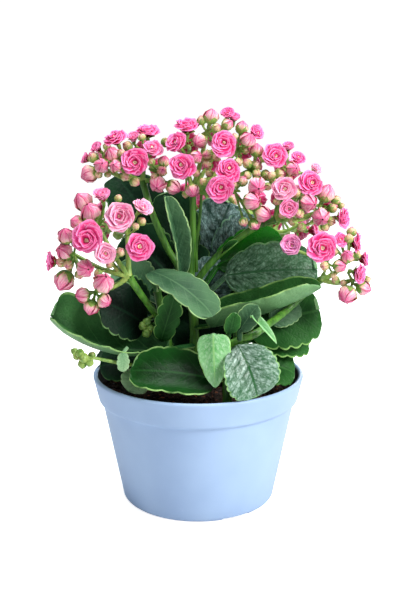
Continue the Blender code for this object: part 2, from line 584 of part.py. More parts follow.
def make_head(name, plan):
    """A flower head: branches, flowers and buds as one solid."""
    shift = head_shift(plan)
    hub = place(plan["hub"]) + shift
    branches = [place(point) + shift for point in plan["branches"]]
    first = bmesh.new()
    add_ball(first, hub, HUB_DIAMETER, HUB_DIAMETER, Vector((0, 0, 1)), *HUB_FACETS)
    parts = [first]
    for branch in branches:
        parts.append(pedicel(hub, branch, PEDICEL_DIAMETER * BRANCH_THICKNESS))
    for x, y, z, share in plan["blooms"]:
        centre = place((x, y, z)) + shift
        root = nearest(branches, centre)
        axis = centre - root
        parts.append(pedicel(root, centre, PEDICEL_DIAMETER))
        bloom = bmesh.new()
        width = BLOOM_DIAMETER * share
        add_ball(bloom, centre, width, width * BLOOM_DEPTH_SHARE, axis, *BLOOM_FACETS)
        parts.append(bloom)
    for x, y, z, diameter in plan["buds"]:
        centre = place((x, y, z)) + shift
        root = nearest(branches, centre)
        parts.append(pedicel(root, centre, PEDICEL_DIAMETER))
        bud = bmesh.new()
        width = diameter * MM
        add_ball(bud, centre, width, width * BUD_LENGTH_SHARE, centre - root, *BUD_FACETS)
        parts.append(bud)
    return unite(name, parts, MATERIALS["petal"])


def make_cluster(name, plan):
    """A small cluster of green buds on its own stem."""
    stem = bmesh.new()
    path = smooth_path([place(point) for point in plan["stem"]], CURVE_STEPS)
    add_tube(stem, path, CLUSTER_STEM_DIAMETER, CLUSTER_STEM_SIDES)
    parts = [stem]
    end = place(plan["stem"][-1])
    for x, y, z, diameter in plan["buds"]:
        centre = place((x, y, z))
        parts.append(pedicel(end, centre, PEDICEL_DIAMETER * CLUSTER_THINNESS))
        bud = bmesh.new()
        width = diameter * MM
        add_ball(bud, centre, width, width * BUD_LENGTH_SHARE, centre - end, *BUD_FACETS)
        parts.append(bud)
    return unite(name, parts, MATERIALS["bud"])


# ---------------------------------------------------------------- build
for leftover in list(bpy.data.objects):
    bpy.data.objects.remove(leftover, do_unlink=True)

MATERIALS = {
    "pot": material("pot_plastic", (.45, .60, .84), .45),
    "soil": material("potting_mix", (.03, .018, .012), .95),
    "leaf": material("leaf", (.05, .16, .06), .45),
    "stem": material("stem", (.15, .32, .06), .5),
    "petal": material("petal", (.80, .16, .38), .6),
    "bud": material("green_bud", (.40, .50, .18), .6),
}

STEM_CURVES = {}                # each stem's curve and radius, for what grows from it

make_pot()
make_potting_mix()
for shoot_name, (shoot_points, shoot_diameter) in SHOOTS.items():
    make_shoot(shoot_name, shoot_points, shoot_diameter)
for stalk_name, stalk_plan in STALKS.items():
    make_stalk(stalk_name, *stalk_plan)
for leaf_name, leaf_plan in LEAVES.items():
    make_leaf(leaf_name, leaf_plan)
for head_name, head_plan in HEADS.items():
    make_head(head_name, head_plan)
for cluster_name, cluster_plan in CLUSTERS.items():
    make_cluster(cluster_name, cluster_plan)
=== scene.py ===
"""Looks of a potted kalanchoe: pink double flowers, scalloped leaves and a pale blue nursery pot.

Units are metres with +Z up and the plant's front at -Y.  The plant's own plan is in millimetres
from the middle of the soil surface, as a grower would measure it, and place() turns it into metres.
"""

import math
import random

import bmesh
import bpy
from mathutils import Matrix, Vector, noise


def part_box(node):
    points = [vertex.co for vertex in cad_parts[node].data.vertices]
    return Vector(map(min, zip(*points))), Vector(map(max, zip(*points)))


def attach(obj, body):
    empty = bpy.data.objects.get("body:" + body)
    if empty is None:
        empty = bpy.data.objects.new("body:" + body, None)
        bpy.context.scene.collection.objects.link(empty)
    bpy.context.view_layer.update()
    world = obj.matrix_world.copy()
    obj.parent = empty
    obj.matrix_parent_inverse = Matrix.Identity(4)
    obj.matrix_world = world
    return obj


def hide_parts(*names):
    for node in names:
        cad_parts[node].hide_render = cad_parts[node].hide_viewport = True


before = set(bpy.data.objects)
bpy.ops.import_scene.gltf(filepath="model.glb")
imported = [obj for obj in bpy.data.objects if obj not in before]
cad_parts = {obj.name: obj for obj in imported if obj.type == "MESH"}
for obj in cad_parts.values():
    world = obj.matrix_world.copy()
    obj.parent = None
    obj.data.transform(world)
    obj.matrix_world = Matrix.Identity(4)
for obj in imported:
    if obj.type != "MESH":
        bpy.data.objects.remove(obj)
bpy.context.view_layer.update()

MM = 0.001
SEED = 23
RANDOM = random.Random(SEED)
# The noise vectors take their offsets from the clock unless they are given a seed.
noise.seed_set(SEED)

# ---------------------------------------------------------------- sizes from the frame
_, POT_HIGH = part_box("pot")
_, SOIL_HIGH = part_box("potting_mix")
RIM_RADIUS = POT_HIGH.x
POT_HEIGHT = POT_HIGH.z
SOIL_CROWN = 1.0 * MM
SOIL_TOP = SOIL_HIGH.z - SOIL_CROWN

# ---------------------------------------------------------------- the pot's own sizes
BASE_RADIUS = 44.0 * MM
WALL = 1.2 * MM
RECESS = 2.2 * MM
FLOOR = 1.5 * MM
CORNER = 3.0 * MM
PAD_RADIUS = 9.0 * MM
FOOT_RING = 3.0 * MM
LIP = 2.7 * MM
COLLAR_HEIGHT = 13.5 * MM
COLLAR_TAPER = 2.7 * MM
STEP_WIDTH = 2.3 * MM
STEP_HEIGHT = 2.0 * MM
# The block that cuts a notch: outwards, along the ring and upwards, half of it below the pot.
NOTCH = (22.0 * MM, 17.0 * MM, 3.0 * MM)
NOTCH_COUNT = 3
FIRST_NOTCH = -60.5
DRAIN_RADIUS = 3.5 * MM
DRAIN_CIRCLE = 26.0 * MM
DRAIN_COUNT = 6
POT_STEPS = 144

# ---------------------------------------------------------------- the plant's plan, in millimetres
# Shoots: points from the soil upwards, and a diameter.
SHOOTS = {
    "shoot_main": ([(-3, 4, -4), (-2, 5, 22), (-3, 6, 46), (-4, 5, 60)], 6),
    "shoot_left": ([(-15, 0, -4), (-17, -2, 24), (-21, -4, 45), (-23, -5, 56)], 5),
    "shoot_front": ([(16, -44, -4), (15, -43, 18), (15, -42, 30), (16, -41, 37)], 5),
    "shoot_right": ([(20, -10, -4), (22, -14, 24), (21, -16, 40)], 5),
    "shoot_back": ([(0, 26, -4), (1, 29, 24), (-1, 31, 46), (0, 32, 58)], 5),
}

# Flower stalks: their points, up to the hub of the head they carry.
STALKS = {
    "stalk_top": [(-4, 5, 58), (-4, 5, 66), (-3, 5, 86), (-3, 6, 100), (-3, 6, 111)],
    "stalk_upper_left": [(-4, 5, 54), (-11, 9, 67), (-18, 8, 79), (-26, 6, 99), (-31, 8, 116)],
    "stalk_upper_right": [(-4, 5, 53), (3, 4, 65), (13, 4, 76), (29, 2, 89), (43, 2, 95)],
    "stalk_lower_left": [(-18, -3, 34), (-18, -10, 40), (-24, -21, 48), (-31, -32, 61),
                         (-36, -38, 71)],
    "stalk_lower_right": [(16, -41, 35), (23, -42, 38), (30, -42, 41), (37, -35, 44), (49, -17, 48),
                          (60, -12, 57), (67, -17, 65)],
    "stalk_back_left": [(0, 32, 52), (-8, 38, 62), (-20, 42, 70), (-34, 45, 77), (-40, 46, 81)],
    "stalk_back_right": [(0, 32, 48), (8, 37, 60), (20, 41, 69), (38, 45, 77), (44, 46, 81)],
    "stalk_back": [(0, 32, 56), (1, 42, 70), (2, 54, 78), (3, 62, 85)],
}
STALK_DIAMETER = 4.2
# A thin second stalk beside the top one, which has no solid of its own.
THIN_STALK = [(-1, 8, 64), (-1, 9, 80), (1, 9, 96), (2, 8, 112)]
THIN_STALK_DIAMETER = 1.9

# Leaves: where the stalk starts, foot of the blade, tip, width, upward side, fold in degrees, bow.
LEAVES = {
    "leaf_left_long": ((-3, 3, 22), (-17, -20, 26), (-80, -26, 46), 38, (0, -.5, .87), 36, -11),
    "leaf_left_dark": ((-20, -4, 39), (-30, -12, 38), (-53, -28, 56), 32, (.2, -.85, .5), 8, 3),
    "leaf_left_mid": ((-21, -4, 44), (-30, -7, 44), (-50, -13, 58), 30, (0, -.9, .45), 8, 2),
    "leaf_left_upper": ((-22, -4, 49), (-30, 1, 52), (-44, 4, 70), 27, (.1, -.9, .45), 10, 2),
    "leaf_left_back": ((-4, 6, 42), (-17, 13, 62), (-42, 16, 84), 34, (.1, -.95, .3), 8, 3),
    "leaf_upper_left": ((-4, 6, 48), (-16, 25, 70), (-48, 39, 116), 34, (.2, -.9, .3), 10, 2),
    "leaf_upper_mid": ((-4, 6, 53), (-7, 21, 68), (-18, 30, 107), 28, (.1, -.95, .2), 12, 2),
    "leaf_folded_upright": ((-4, 5, 52), (-10, -3, 64), (-18, -6, 109), 16, (.56, -.8, .2), 44, 3),
    "leaf_front_droop": ((-23, -5, 55), (-26, -14, 68), (8, -40, 50), 26, (.2, -.4, .9), 12, 4),
    "leaf_middle_left": ((-3, 6, 27), (-5, 17, 23), (-37, 21, 58), 38, (.15, -.95, .2), 8, 2),
    "leaf_middle_right": ((-2, 5, 17), (4, 14, 19), (34, 19, 50), 36, (-.1, -.95, .2), 8, 2),
    "leaf_left_scallop": ((-18, -3, 29), (-20, -24, 33), (-12, -31, 60), 14, (0, -1, .2), 10, 1),
    "leaf_front_big": ((15, -43, 17), (9, -44, 16), (-36, -40, 20), 29, (0, -.66, .75), -4, 3),
    "leaf_pot_left_pale": ((-16, -1, 8), (-26, -21, 13), (-37, -35, 7), 21, (-.3, -.75, .6), 4, 2),
    "leaf_pot_left": ((-16, -1, 6), (-32, -6, 11), (-55, -12, 14), 27, (-.2, -.6, .7), 6, 3),
    "leaf_pot_left_back": ((-16, -1, 13), (-33, 9, 14), (-59, 12, 14), 24, (0, -.05, 1), 4, 1),
    "leaf_pot_right": ((21, -12, 14), (30, -14, 16), (54, -13, 10), 28, (.2, -.6, .75), 6, 3),
    "leaf_front_quilted": ((15, -42, 30), (21, -46, 35), (31, -49, 9), 33, (.15, -.8, .55), 14, 4),
    "leaf_front_hanging": ((15, -42, 34), (8, -47, 42), (9, -53, 15), 19, (-.1, -.95, .25), -20, 1),
    "leaf_tip_left": ((15.5, -42, 34), (16, -45, 42), (19, -48, 54), 9, (.3, -.9, .5), 10, 1),
    "leaf_tip_right": ((22, -43, 38), (22, -43, 43), (31, -45, 57), 12, (-.1, -.9, .5), 10, 1),
    "leaf_right_small": ((36, -37, 44), (40, -17, 41), (56, -9.5, 49), 15, (.1, -.9, .4), 4, 0),
    "leaf_right_big": ((21, -16, 38), (28, -11, 38), (68, -6, 45), 37, (.1, -.95, .3), 6, 2),
    "leaf_right_under": ((21, -15, 28), (30, -9, 29), (63, 0, 25), 26, (.1, -.75, .65), 6, 2),
    "leaf_right_glossy": ((-3, 6, 44), (16, 11, 61), (68, 9, 65), 33, (0, -.85, .53), 10, 4),
    "leaf_right_long": ((-2, 5, 32), (7, -9, 37), (66, -28, 63), 36, (0, -.15, .99), 48, -3),
    "leaf_right_upper": ((-3, 6, 47), (11, 20, 65), (49, 29, 80), 27, (-.2, -.8, .55), 10, 2),
    "leaf_back_upper": ((-4, 5, 60), (3, 31, 62), (19, 50, 98), 36, (.1, -.95, .2), 10, 2),
    "leaf_back_right": ((-3, 6, 54), (11, 29, 68), (37, 40, 88), 28, (-.1, -.95, .3), 10, 2),
    "leaf_rear_left_low": ((0, 28, 18), (-18, 32, 20), (-58, 48, 16), 36, (-.1, .2, 1), 12, 4),
    "leaf_rear_right_low": ((0, 28, 18), (18, 32, 20), (58, 46, 18), 36, (.1, .2, 1), 12, 4),
    "leaf_rear_low": ((0, 29, 20), (2, 42, 22), (6, 82, 14), 38, (0, .3, 1), 14, 4),
    "leaf_rear_left": ((-1, 30, 38), (-14, 36, 42), (-50, 62, 48), 36, (-.3, .3, .9), 14, 4),
    "leaf_rear_right": ((-1, 30, 38), (14, 36, 42), (52, 60, 46), 36, (.3, .3, .9), 14, 4),
}

# Inner leaves and small bracts that have no solid of their own, in the same terms.
BRACTS = {
    "inner_leaf_right": ((-1, 10, 40), (2, 16, 46), (14, 21, 68), 28, (-.1, -.95, .2), 8, 1),
    "inner_leaf_left": ((-5, 10, 42), (-8, 16, 48), (-3, 25, 78), 26, (.1, -.95, .2), 8, 1),
    "inner_leaf_low": ((-3, 8, 8), (-5, 14, 10), (-3, 20, 38), 26, (.1, -.95, .2), 8, 1),
    "bract_hanging": ((27, -44, 48), (28, -46, 52), (41, -47, 37), 6, (.5, -.8, .4), 42, 1),
    "bract_pale": ((-38, -33, 31), (-40, -36, 29), (-40, -41, 20), 7, (.1, -.9, .4), 4, 1),
    "bract_front_left": ((-33, -31, 19), (-34, -33, 19), (-30, -40, 17), 6, (.1, -.7, .7), 10, 1),
    "bract_right": ((13, 4, 75), (14, 1, 77), (22, -4, 84), 5, (-.3, -.8, .5), 30, 1),
}

# Looks of a leaf: finish, scallops on a side, their depth in millimetres, curl of the margins,
# waviness, and how strongly it is quilted between its veins.
PLAIN_LOOK = ("leaf_dark", 6, 1.8, .05, .03, .35)
LEAF_LOOKS = {
    "leaf_left_long": ("leaf_mid", 4, 2.4, .30, .02, .15),
    "leaf_left_dark": ("leaf_painted_shade", 5, 1.8, .02, .02, .2),
    "leaf_left_mid": ("leaf_dark", 6, 1.8, .04, .03, .4),
    "leaf_left_upper": ("leaf_grey", 6, 1.6, .04, .03, .3),
    "leaf_folded_upright": ("leaf_dusty", 8, .9, .16, .06, .5),
    "leaf_front_droop": ("leaf_dusty", 4, 2.2, -.06, .03, .15),
    "leaf_left_scallop": ("leaf_face", 4, 2.0, .08, .05, .3),
    "leaf_front_big": ("leaf_glossy", 5, 1.4, .30, .02, .22),
    "leaf_pot_left_pale": ("leaf_pale", 5, 1.4, .05, .05, .6),
    "leaf_pot_left": ("leaf_dark", 5, 1.3, .06, .03, .4),
    "leaf_pot_right": ("leaf_face", 5, 1.6, .06, .04, .7),
    "leaf_front_quilted": ("leaf_bloom_and_sheen", 7, 1.4, -.06, .04, 1.4),
    "leaf_front_hanging": ("leaf_fresh", 3, .5, .10, .03, .3),
    "leaf_tip_left": ("leaf_face", 3, .5, .06, .03, .3),
    "leaf_tip_right": ("leaf_dusty", 3, .6, .08, .03, .4),
    "leaf_right_small": ("leaf_dusty", 5, .9, .02, .03, .4),
    "leaf_right_big": ("leaf_face", 6, 2.8, .02, .03, .1),
    "leaf_right_under": ("leaf_face", 6, 2.0, .14, .04, .15),
    "leaf_right_glossy": ("leaf_sheen", 4, 2.6, .10, .10, .9),
    "leaf_right_long": ("leaf_face", 5, 3.0, .05, .04, .15),
    "leaf_right_upper": ("leaf_painted_backlight", 5, 1.5, .04, .03, .15),
    "leaf_back_upper": ("leaf_dark_bloom_and_sheen", 5, 2.4, .10, .14, 2.6),
    "leaf_back_right": ("leaf_dark_bloom_and_sheen", 5, 2.2, .10, .10, 2.0),
    "leaf_rear_low": ("leaf_face", 7, 2.0, .04, .04, .5),
    "leaf_rear_left": ("leaf_face", 7, 2.0, .04, .04, .5),
    "leaf_rear_right": ("leaf_glossy", 7, 2.0, .04, .04, .6),
    "inner_leaf_right": ("leaf_dark_bloom_and_sheen", 5, 1.6, .08, .08, 1.6),
    "bract_hanging": ("leaf_fresh", 3, .2, .05, .04, .2),
    "bract_pale": ("leaf_pale", 3, .8, .05, .06, .5),
    "bract_front_left": ("leaf_grey", 3, .5, .05, .06, .5),
    "bract_right": ("leaf_face", 3, .2, .05, .05, .3),
}
# A blade is widest at this share of its length.
LEAF_PEAKS = {
    "leaf_upper_left": .6,
    "leaf_upper_mid": .6,
    "leaf_front_droop": .6,
    "leaf_front_big": .5,
    "leaf_front_hanging": .25,
    "leaf_right_long": .38,
    "leaf_left_long": .62,
    "bract_hanging": .3,
}
LEAF_PEAK = .55
# The shape of a blade's ends: 1 is a plain almond and less is blunter.
BLUNTNESS = {
    "leaf_left_long": .5,
    "leaf_right_big": .58,
    "leaf_upper_left": .6,
    "leaf_back_upper": .55,
    "leaf_front_big": .56,
    "leaf_front_droop": .56,
    "leaf_front_hanging": .85,
    "leaf_folded_upright": .62,
    "leaf_right_glossy": .6,
    "leaf_left_scallop": .6,
    "leaf_middle_left": .5,
    "leaf_middle_right": .5,
    "leaf_tip_left": .95,
    "leaf_tip_right": .95,
    "bract_hanging": 1,
    "bract_right": 1,
}
PLAIN_BLUNTNESS = .72

# Heads: hub, branch points, flowers (x, y, z, diameter, turn, tilt, openness, tone) and
# buds (x, y, z, diameter).  Turn is to the plant's right and tilt is upwards, in degrees.
HOT, MID, PALE, MAUVE = 0, .33, .66, 1
HEADS = {
    "head_upper_left": dict(
        hub=(-31, 8, 116),
        branches=[(-43, 8, 124), (-30, 10, 132), (-54, 6, 124), (-21, 6, 121)],
        flowers=[(-34, -2, 127, 17, -5, 10, 1, HOT), (-45, 6, 139, 14, -30, 60, 1, HOT),
                 (-28, 14, 142, 14, 10, 70, 1, HOT), (-36, 10, 139, 9, -10, 50, .5, MID),
                 (-25, 2, 134, 13, 20, 45, .9, MID), (-56, 8, 134, 9, -50, 40, .6, HOT),
                 (-62, 10, 128, 9, -80, 20, .6, HOT)],
        buds=[(-47, 2, 131, 7.5), (-53, 0, 125, 7.5), (-58, 6, 129, 5.5), (-45, -2, 125, 6.5),
              (-60, 4, 120, 9), (-40, 0, 119, 4.5), (-35, 2, 116, 5), (-39, 8, 135, 5),
              (-50, 4, 120, 3.5), (-19, 4, 127, 6), (-20, 2, 122, 5.5), (-22, 0, 115, 8.5),
              (-14, 4, 113, 7.5), (-18, 10, 137, 5), (-42, 0, 132, 4), (-26, 2, 127, 4.5),
              (-50, 4, 135, 4), (-31, 6, 140, 4), (-55, 2, 120, 4), (-24, 0, 119, 4)]),
    "head_top": dict(
        hub=(-3, 6, 111),
        branches=[(-7, 8, 129), (8, 8, 133), (21, 8, 132), (20, 0, 111), (5, 10, 143),
                  (30, 4, 123)],
        flowers=[(14, -4, 137, 16, 5, 15, 1, HOT), (-8, -8, 125, 16.5, -10, 15, 1, HOT),
                 (-12, 0, 137, 14, -35, 35, 1, HOT), (-6, 10, 145, 16, 0, 70, 1, HOT),
                 (16, -8, 123, 15, 15, 10, 1, HOT), (12, -12, 114, 16.5, 0, -5, .9, HOT),
                 (20, 14, 150, 9, 20, 60, .6, HOT), (16, 10, 152, 10, 0, 50, .6, HOT),
                 (32, 10, 142, 11, 40, 30, .8, HOT)],
        buds=[(7, 10, 151, 8), (2, 10, 149, 5), (1, 4, 138, 7.5), (16, 6, 147, 6), (10, 6, 145, 5),
              (24, 8, 145, 6.5), (27, 2, 139, 8), (32, 4, 133, 7), (-1, -2, 130, 6.5),
              (5, 0, 131, 5), (10, 0, 130, 4.5), (5, 0, 126, 5), (6, -2, 121, 4),
              (-3, -4, 112, 7), (-7, 2, 109, 3.5), (24, -4, 117, 5.5), (20, -4, 115, 3.5),
              (32, -8, 115, 9), (29, -10, 107, 9), (35, -8, 100, 8.5), (25, -6, 95, 5),
              (31, -6, 94, 6.5), (27, 2, 126, 5), (32, 2, 125, 5), (32, 0, 121, 4.5),
              (37, 2, 120, 5), (45, 4, 120, 6), (22, 0, 127, 4.5), (27, -2, 120, 4),
              (38, -4, 114, 4),
              (41, 0, 117, 4), (-1, 0, 121, 4), (3, -6, 117, 4), (36, 2, 129, 4.5),
              (20, 4, 140, 4.5), (26, 6, 133, 4)]),
    "head_upper_right": dict(
        hub=(43, 2, 95),
        branches=[(45, 2, 113), (56, 0, 109), (66, -2, 100), (50, 6, 123)],
        flowers=[(42, 0, 130, 15, 5, 20, 1, HOT), (55, 6, 128, 10, 20, 40, .8, HOT),
                 (50, 12, 134, 9, 0, 60, .6, HOT), (46, -10, 114, 16, 0, 10, .8, PALE),
                 (60, -6, 116, 15.5, 10, 12, 1, HOT), (49, -12, 103, 14, 0, 5, .5, MID),
                 (65, 6, 123, 9, 40, 40, .7, PALE), (79, -4, 97, 13, 60, 5, .9, HOT)],
        buds=[(52, 2, 123, 7), (60, -8, 106, 9), (70, -2, 110, 9), (53, -8, 111, 5),
              (43, -6, 106, 3.5), (55, -10, 100, 5), (67, -8, 98, 9), (76, 0, 106, 5),
              (74, -2, 102, 5), (79, 0, 103, 3.5), (68, -2, 108, 3.5), (52, -6, 95, 4.5),
              (57, -6, 92, 4.5), (73, -4, 95, 5), (70, -4, 92, 5), (40, -4, 120, 4.5),
              (50, 0, 117, 4.5), (62, 0, 103, 4), (64, 2, 110, 4.5), (46, -8, 99, 4)]),
    "head_lower_left": dict(
        hub=(-36, -38, 71),
        branches=[(-45, -36, 78), (-52, -34, 97), (-65, -34, 82), (-54, -38, 63), (-37, -34, 92)],
        flowers=[(-55, -50, 94, 19, -10, 10, 1, HOT), (-39, -48, 104, 18.5, 0, 12, .75, PALE),
                 (-29, -38, 107, 12, 45, 45, .9, PALE), (-47, -50, 86, 14.5, 10, 0, .6, PALE),
                 (-30, -44, 88, 16, 5, 5, 1, HOT), (-49, -40, 113, 12, -10, 60, .5, MID),
                 (-76, -38, 79, 12, -80, 5, .8, HOT)],
        buds=[(-59, -38, 110, 9), (-55, -42, 105, 9.5), (-62, -42, 100, 6.5), (-68, -42, 93, 8),
              (-69, -42, 85, 8), (-71, -40, 79, 5), (-67, -42, 78, 5), (-58, -46, 77, 8.5),
              (-70, -38, 69, 10), (-49, -46, 69, 10), (-60, -42, 62, 7.5), (-56, -40, 55, 7.5),
              (-49, -42, 59, 7), (-40, -44, 85, 4.5), (-41, -38, 112, 3.5), (-29, -38, 100, 4),
              (-63, -40, 89, 4.5), (-46, -40, 78, 4), (-62, -38, 72, 4.5), (-52, -40, 73, 4),
              (-32, -42, 98, 3.5)]),
    "head_lower_right": dict(
        hub=(67, -17, 65),
        branches=[(69, -24, 76), (80, -23, 76), (83, -23, 66)],
        flowers=[(64, -36, 87, 17.5, 0, 8, 1, HOT), (50, -30, 86, 15, -15, 25, .6, MAUVE),
                 (75, -26, 88, 10, 30, 20, .7, HOT), (84, -22, 86, 13, 75, 5, .9, HOT),
                 (85, -28, 71, 13, 60, -5, .9, HOT), (89, -20, 77, 10, 70, 10, .7, HOT)],
        buds=[(82, -22, 92, 5), (80, -26, 89, 4.5), (79, -30, 80, 6.5), (75, -30, 75, 6.5),
              (67, -30, 75, 4.5), (72, -28, 70, 3.5), (80, -28, 59, 9.5), (89, -24, 62, 7.5),
              (91, -22, 66, 4), (78, -26, 65, 3.5), (72, -26, 82, 4.5), (85, -24, 80, 4),
              (74, -24, 66, 4)]),
    "head_back_left": dict(
        hub=(-40, 46, 81),
        branches=[(-48, 48, 90), (-34, 54, 92), (-54, 40, 86)],
        flowers=[(-48, 56, 98, 16, -140, 35, 1, HOT), (-60, 46, 92, 16, -110, 25, 1, HOT),
                 (-34, 62, 98, 15, -170, 35, .9, HOT), (-44, 64, 84, 16, -155, 0, 1, PALE),
                 (-62, 36, 82, 13, -80, 10, .8, HOT), (-58, 58, 80, 14.5, -130, -5, 1, HOT)],
        buds=[(-28, 56, 90, 7), (-36, 66, 88, 8), (-66, 50, 80, 8), (-52, 60, 90, 6.5),
              (-50, 66, 76, 6), (-40, 70, 78, 5), (-66, 44, 88, 5.5), (-28, 64, 92, 5)]),
    "head_back_right": dict(
        hub=(44, 46, 81),
        branches=[(50, 48, 90), (36, 54, 92), (60, 40, 86)],
        flowers=[(50, 56, 97, 16, 140, 35, 1, HOT), (62, 46, 92, 16, 110, 25, 1, PALE),
                 (36, 62, 98, 15, 170, 35, .9, HOT), (46, 66, 84, 16, 155, 0, 1, HOT),
                 (68, 34, 84, 13, 80, 10, .8, HOT), (62, 58, 80, 14.5, 130, -5, .8, MID)],
        buds=[(30, 56, 90, 7), (38, 68, 88, 8), (72, 48, 82, 8), (56, 62, 92, 6.5),
              (54, 68, 76, 6), (42, 71, 78, 5), (72, 42, 90, 5.5), (30, 65, 92, 5)]),
    "head_back": dict(
        hub=(3, 62, 85),
        branches=[(-6, 64, 94), (10, 66, 94)],
        flowers=[(-6, 70, 102, 17, -170, 45, 1, HOT), (10, 72, 102, 16, 165, 40, 1, HOT),
                 (2, 80, 92, 17, 180, 10, 1, PALE), (-14, 74, 90, 14.5, -150, 10, .8, HOT),
                 (18, 76, 90, 14.5, 150, 10, .9, HOT)],
        buds=[(2, 66, 107, 8), (-18, 68, 98, 7), (22, 68, 98, 7), (8, 82, 82, 8), (-6, 82, 82, 7),
              (-18, 78, 82, 5), (22, 80, 80, 5), (2, 82, 76, 5)]),
}
# Flowers at the back of the upper heads, so that they are full from every side.
REAR_FLOWERS = {
    "head_upper_left": [(-44, 20, 126, 15, -160, 10, 1, HOT), (-30, 22, 130, 15, 175, 20, 1, HOT),
                        (-54, 18, 127, 13, -125, 20, .9, PALE),
                        (-24, 18, 122, 13, 150, 0, .7, HOT)],
    "head_top": [(-6, 22, 135, 16, -170, 15, 1, HOT), (10, 24, 139, 15.5, 180, 30, 1, PALE),
                 (24, 22, 132, 15, 150, 15, 1, HOT), (6, 22, 125, 15, 178, -5, .8, HOT),
                 (32, 14, 124, 12, 110, 5, .8, HOT)],
    "head_upper_right": [(50, 18, 121, 15.5, 170, 15, 1, HOT), (64, 14, 112, 15, 130, 10, 1, HOT),
                         (54, 16, 107, 14, 175, -5, .9, PALE), (72, 10, 102, 12, 110, 0, .7, HOT)],
}

# Small green bud clusters: stem points and buds (x, y, z, diameter).
CLUSTERS = {
    "cluster_low_left": dict(
        stem=[(-17, -4, 13), (-24, -16, 16), (-30, -27, 19), (-42, -35, 23), (-56, -39, 27)],
        buds=[(-63, -38, 29, 4.5), (-61, -39, 27, 5), (-62, -37, 23, 4.5), (-65, -35, 27, 4),
              (-58, -38, 24, 4), (-57, -34, 27, 3.5), (-66, -37, 30, 3.5)]),
    "cluster_green": dict(
        stem=[(-22, -7, 44), (-25, -12, 43), (-28, -16, 42), (-29, -19, 39)],
        buds=[(-30, -21, 40, 4.5), (-28, -21, 42, 4), (-28, -22, 36, 4.5), (-26, -22, 39, 3.5)]),
}


# ---------------------------------------------------------------- small helpers
def place(point):
    """A plan point in millimetres above the soil, as a position in metres."""
    x, y, z = point
    return Vector((x * MM, y * MM, SOIL_TOP + z * MM))


def facing(turn, tilt):
    """The direction that a flower looks in."""
    turn, tilt = math.radians(turn), math.radians(tilt)
    level = math.cos(tilt)
    return Vector((math.sin(turn) * level, -math.cos(turn) * level, math.sin(tilt)))


def srgb(red, green, blue):
    """A display colour out of 255 as a linear colour."""
    return tuple(((c / 255 + .055) / 1.055) ** 2.4 for c in (red, green, blue)) + (1,)


def link_object(name, data):
    """A new object in the scene."""
    made = bpy.data.objects.new(name, data)
    bpy.context.scene.collection.objects.link(made)
    return made


def clamp(value, low=0.0, high=1.0):
    return min(max(value, low), high)


def ease(value, low, high):
    """0 below low, 1 above high, and smooth between."""
    share = clamp((value - low) / (high - low))
    return share * share * (3 - 2 * share)


def finish_mesh(name, bm, finishes, nodes=(), sharp=50):
    """Turn a bmesh into a piece that rides on the plant's one body.

    Edges that bend by more than sharp degrees stay crisp.
    """
    bmesh.ops.recalc_face_normals(bm, faces=bm.faces[:])
    mesh = bpy.data.meshes.new(name)
    bm.to_mesh(mesh)
    bm.free()
    mesh.shade_smooth()
    mesh.set_sharp_from_angle(angle=math.radians(sharp))
    for finish in finishes:
        mesh.materials.append(finish)
    piece = link_object(name, mesh)
    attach(piece, "root")
    if nodes:
        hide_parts(*nodes)
    return piece


# ---------------------------------------------------------------- shader helpers
def add_node(tree, kind, values=None, **settings):
    """A shader node with its settings, and its inputs set to values or linked to sockets."""
    made = tree.nodes.new(kind)
    for key, value in settings.items():
        setattr(made, key, value)
    for key, value in (values or {}).items():
        if isinstance(value, bpy.types.NodeSocket):
            tree.links.new(value, made.inputs[key])
        else:
            made.inputs[key].default_value = value
    return made


def maths(tree, operation, first, second=0.0):
    return add_node(tree, "ShaderNodeMath", {0: first, 1: second}, operation=operation).outputs[0]


def times(tree, first, second):
    return maths(tree, "MULTIPLY", first, second)


def plus(tree, first, second):
    return maths(tree, "ADD", first, second)


def minus(tree, first, second):
    return maths(tree, "SUBTRACT", first, second)


def between(tree, value, low, high):
    """0 below low and 1 above high, smooth between."""
    made = add_node(tree, "ShaderNodeMapRange",
                    {"Value": value, "From Min": low, "From Max": high},
                    interpolation_type="SMOOTHSTEP")
    return made.outputs["Result"]


def blend_colour(tree, share, first, second):
    made = add_node(tree, "ShaderNodeMix", {0: share, 6: first, 7: second}, data_type="RGBA")
    return made.outputs[2]


def object_noise(tree, scale, detail=4.0, roughness=.55):
    """Soft random spots fixed to the piece, from 0 to 1."""
    place_in = add_node(tree, "ShaderNodeTexCoord").outputs["Object"]
    made = add_node(tree, "ShaderNodeTexNoise",
                    {"Vector": place_in, "Scale": scale, "Detail": detail, "Roughness": roughness})
    return made.outputs["Fac"]


def drawn_noise(tree, along, across, depth, detail, roughness=.5):
    """Noise drawn out into streaks along a blade, from 0 to 1."""
    spot = add_node(tree, "ShaderNodeCombineXYZ", {0: along, 1: across, 2: depth})
    made = add_node(tree, "ShaderNodeTexNoise",
                    {"Vector": spot.outputs[0], "Scale": 1.0, "Detail": detail,
                     "Roughness": roughness})
    return made.outputs["Fac"]


def read_attribute(tree, name):
    return add_node(tree, "ShaderNodeAttribute", attribute_name=name).outputs["Fac"]


def read_blade(tree):
    """How far along a blade, how far off its middle line, and how far across, all from 0 to 1."""
    uv = add_node(tree, "ShaderNodeUVMap", uv_map="blade").outputs["UV"]
    parts = add_node(tree, "ShaderNodeSeparateXYZ", {0: uv})
    off = maths(tree, "ABSOLUTE", minus(tree, parts.outputs["Y"], .5))
    return parts.outputs["X"], times(tree, off, 2.0), parts.outputs["Y"]


def new_material(name, roughness=.5, **constants):
    """A Principled material, its tree and its shader."""
    made = bpy.data.materials.new(name)
    made.use_nodes = True
    shader = made.node_tree.nodes["Principled BSDF"]
    shader.inputs["Roughness"].default_value = roughness
    for key, value in constants.items():
        shader.inputs[key.replace("_", " ")].default_value = value
    return made, made.node_tree, shader


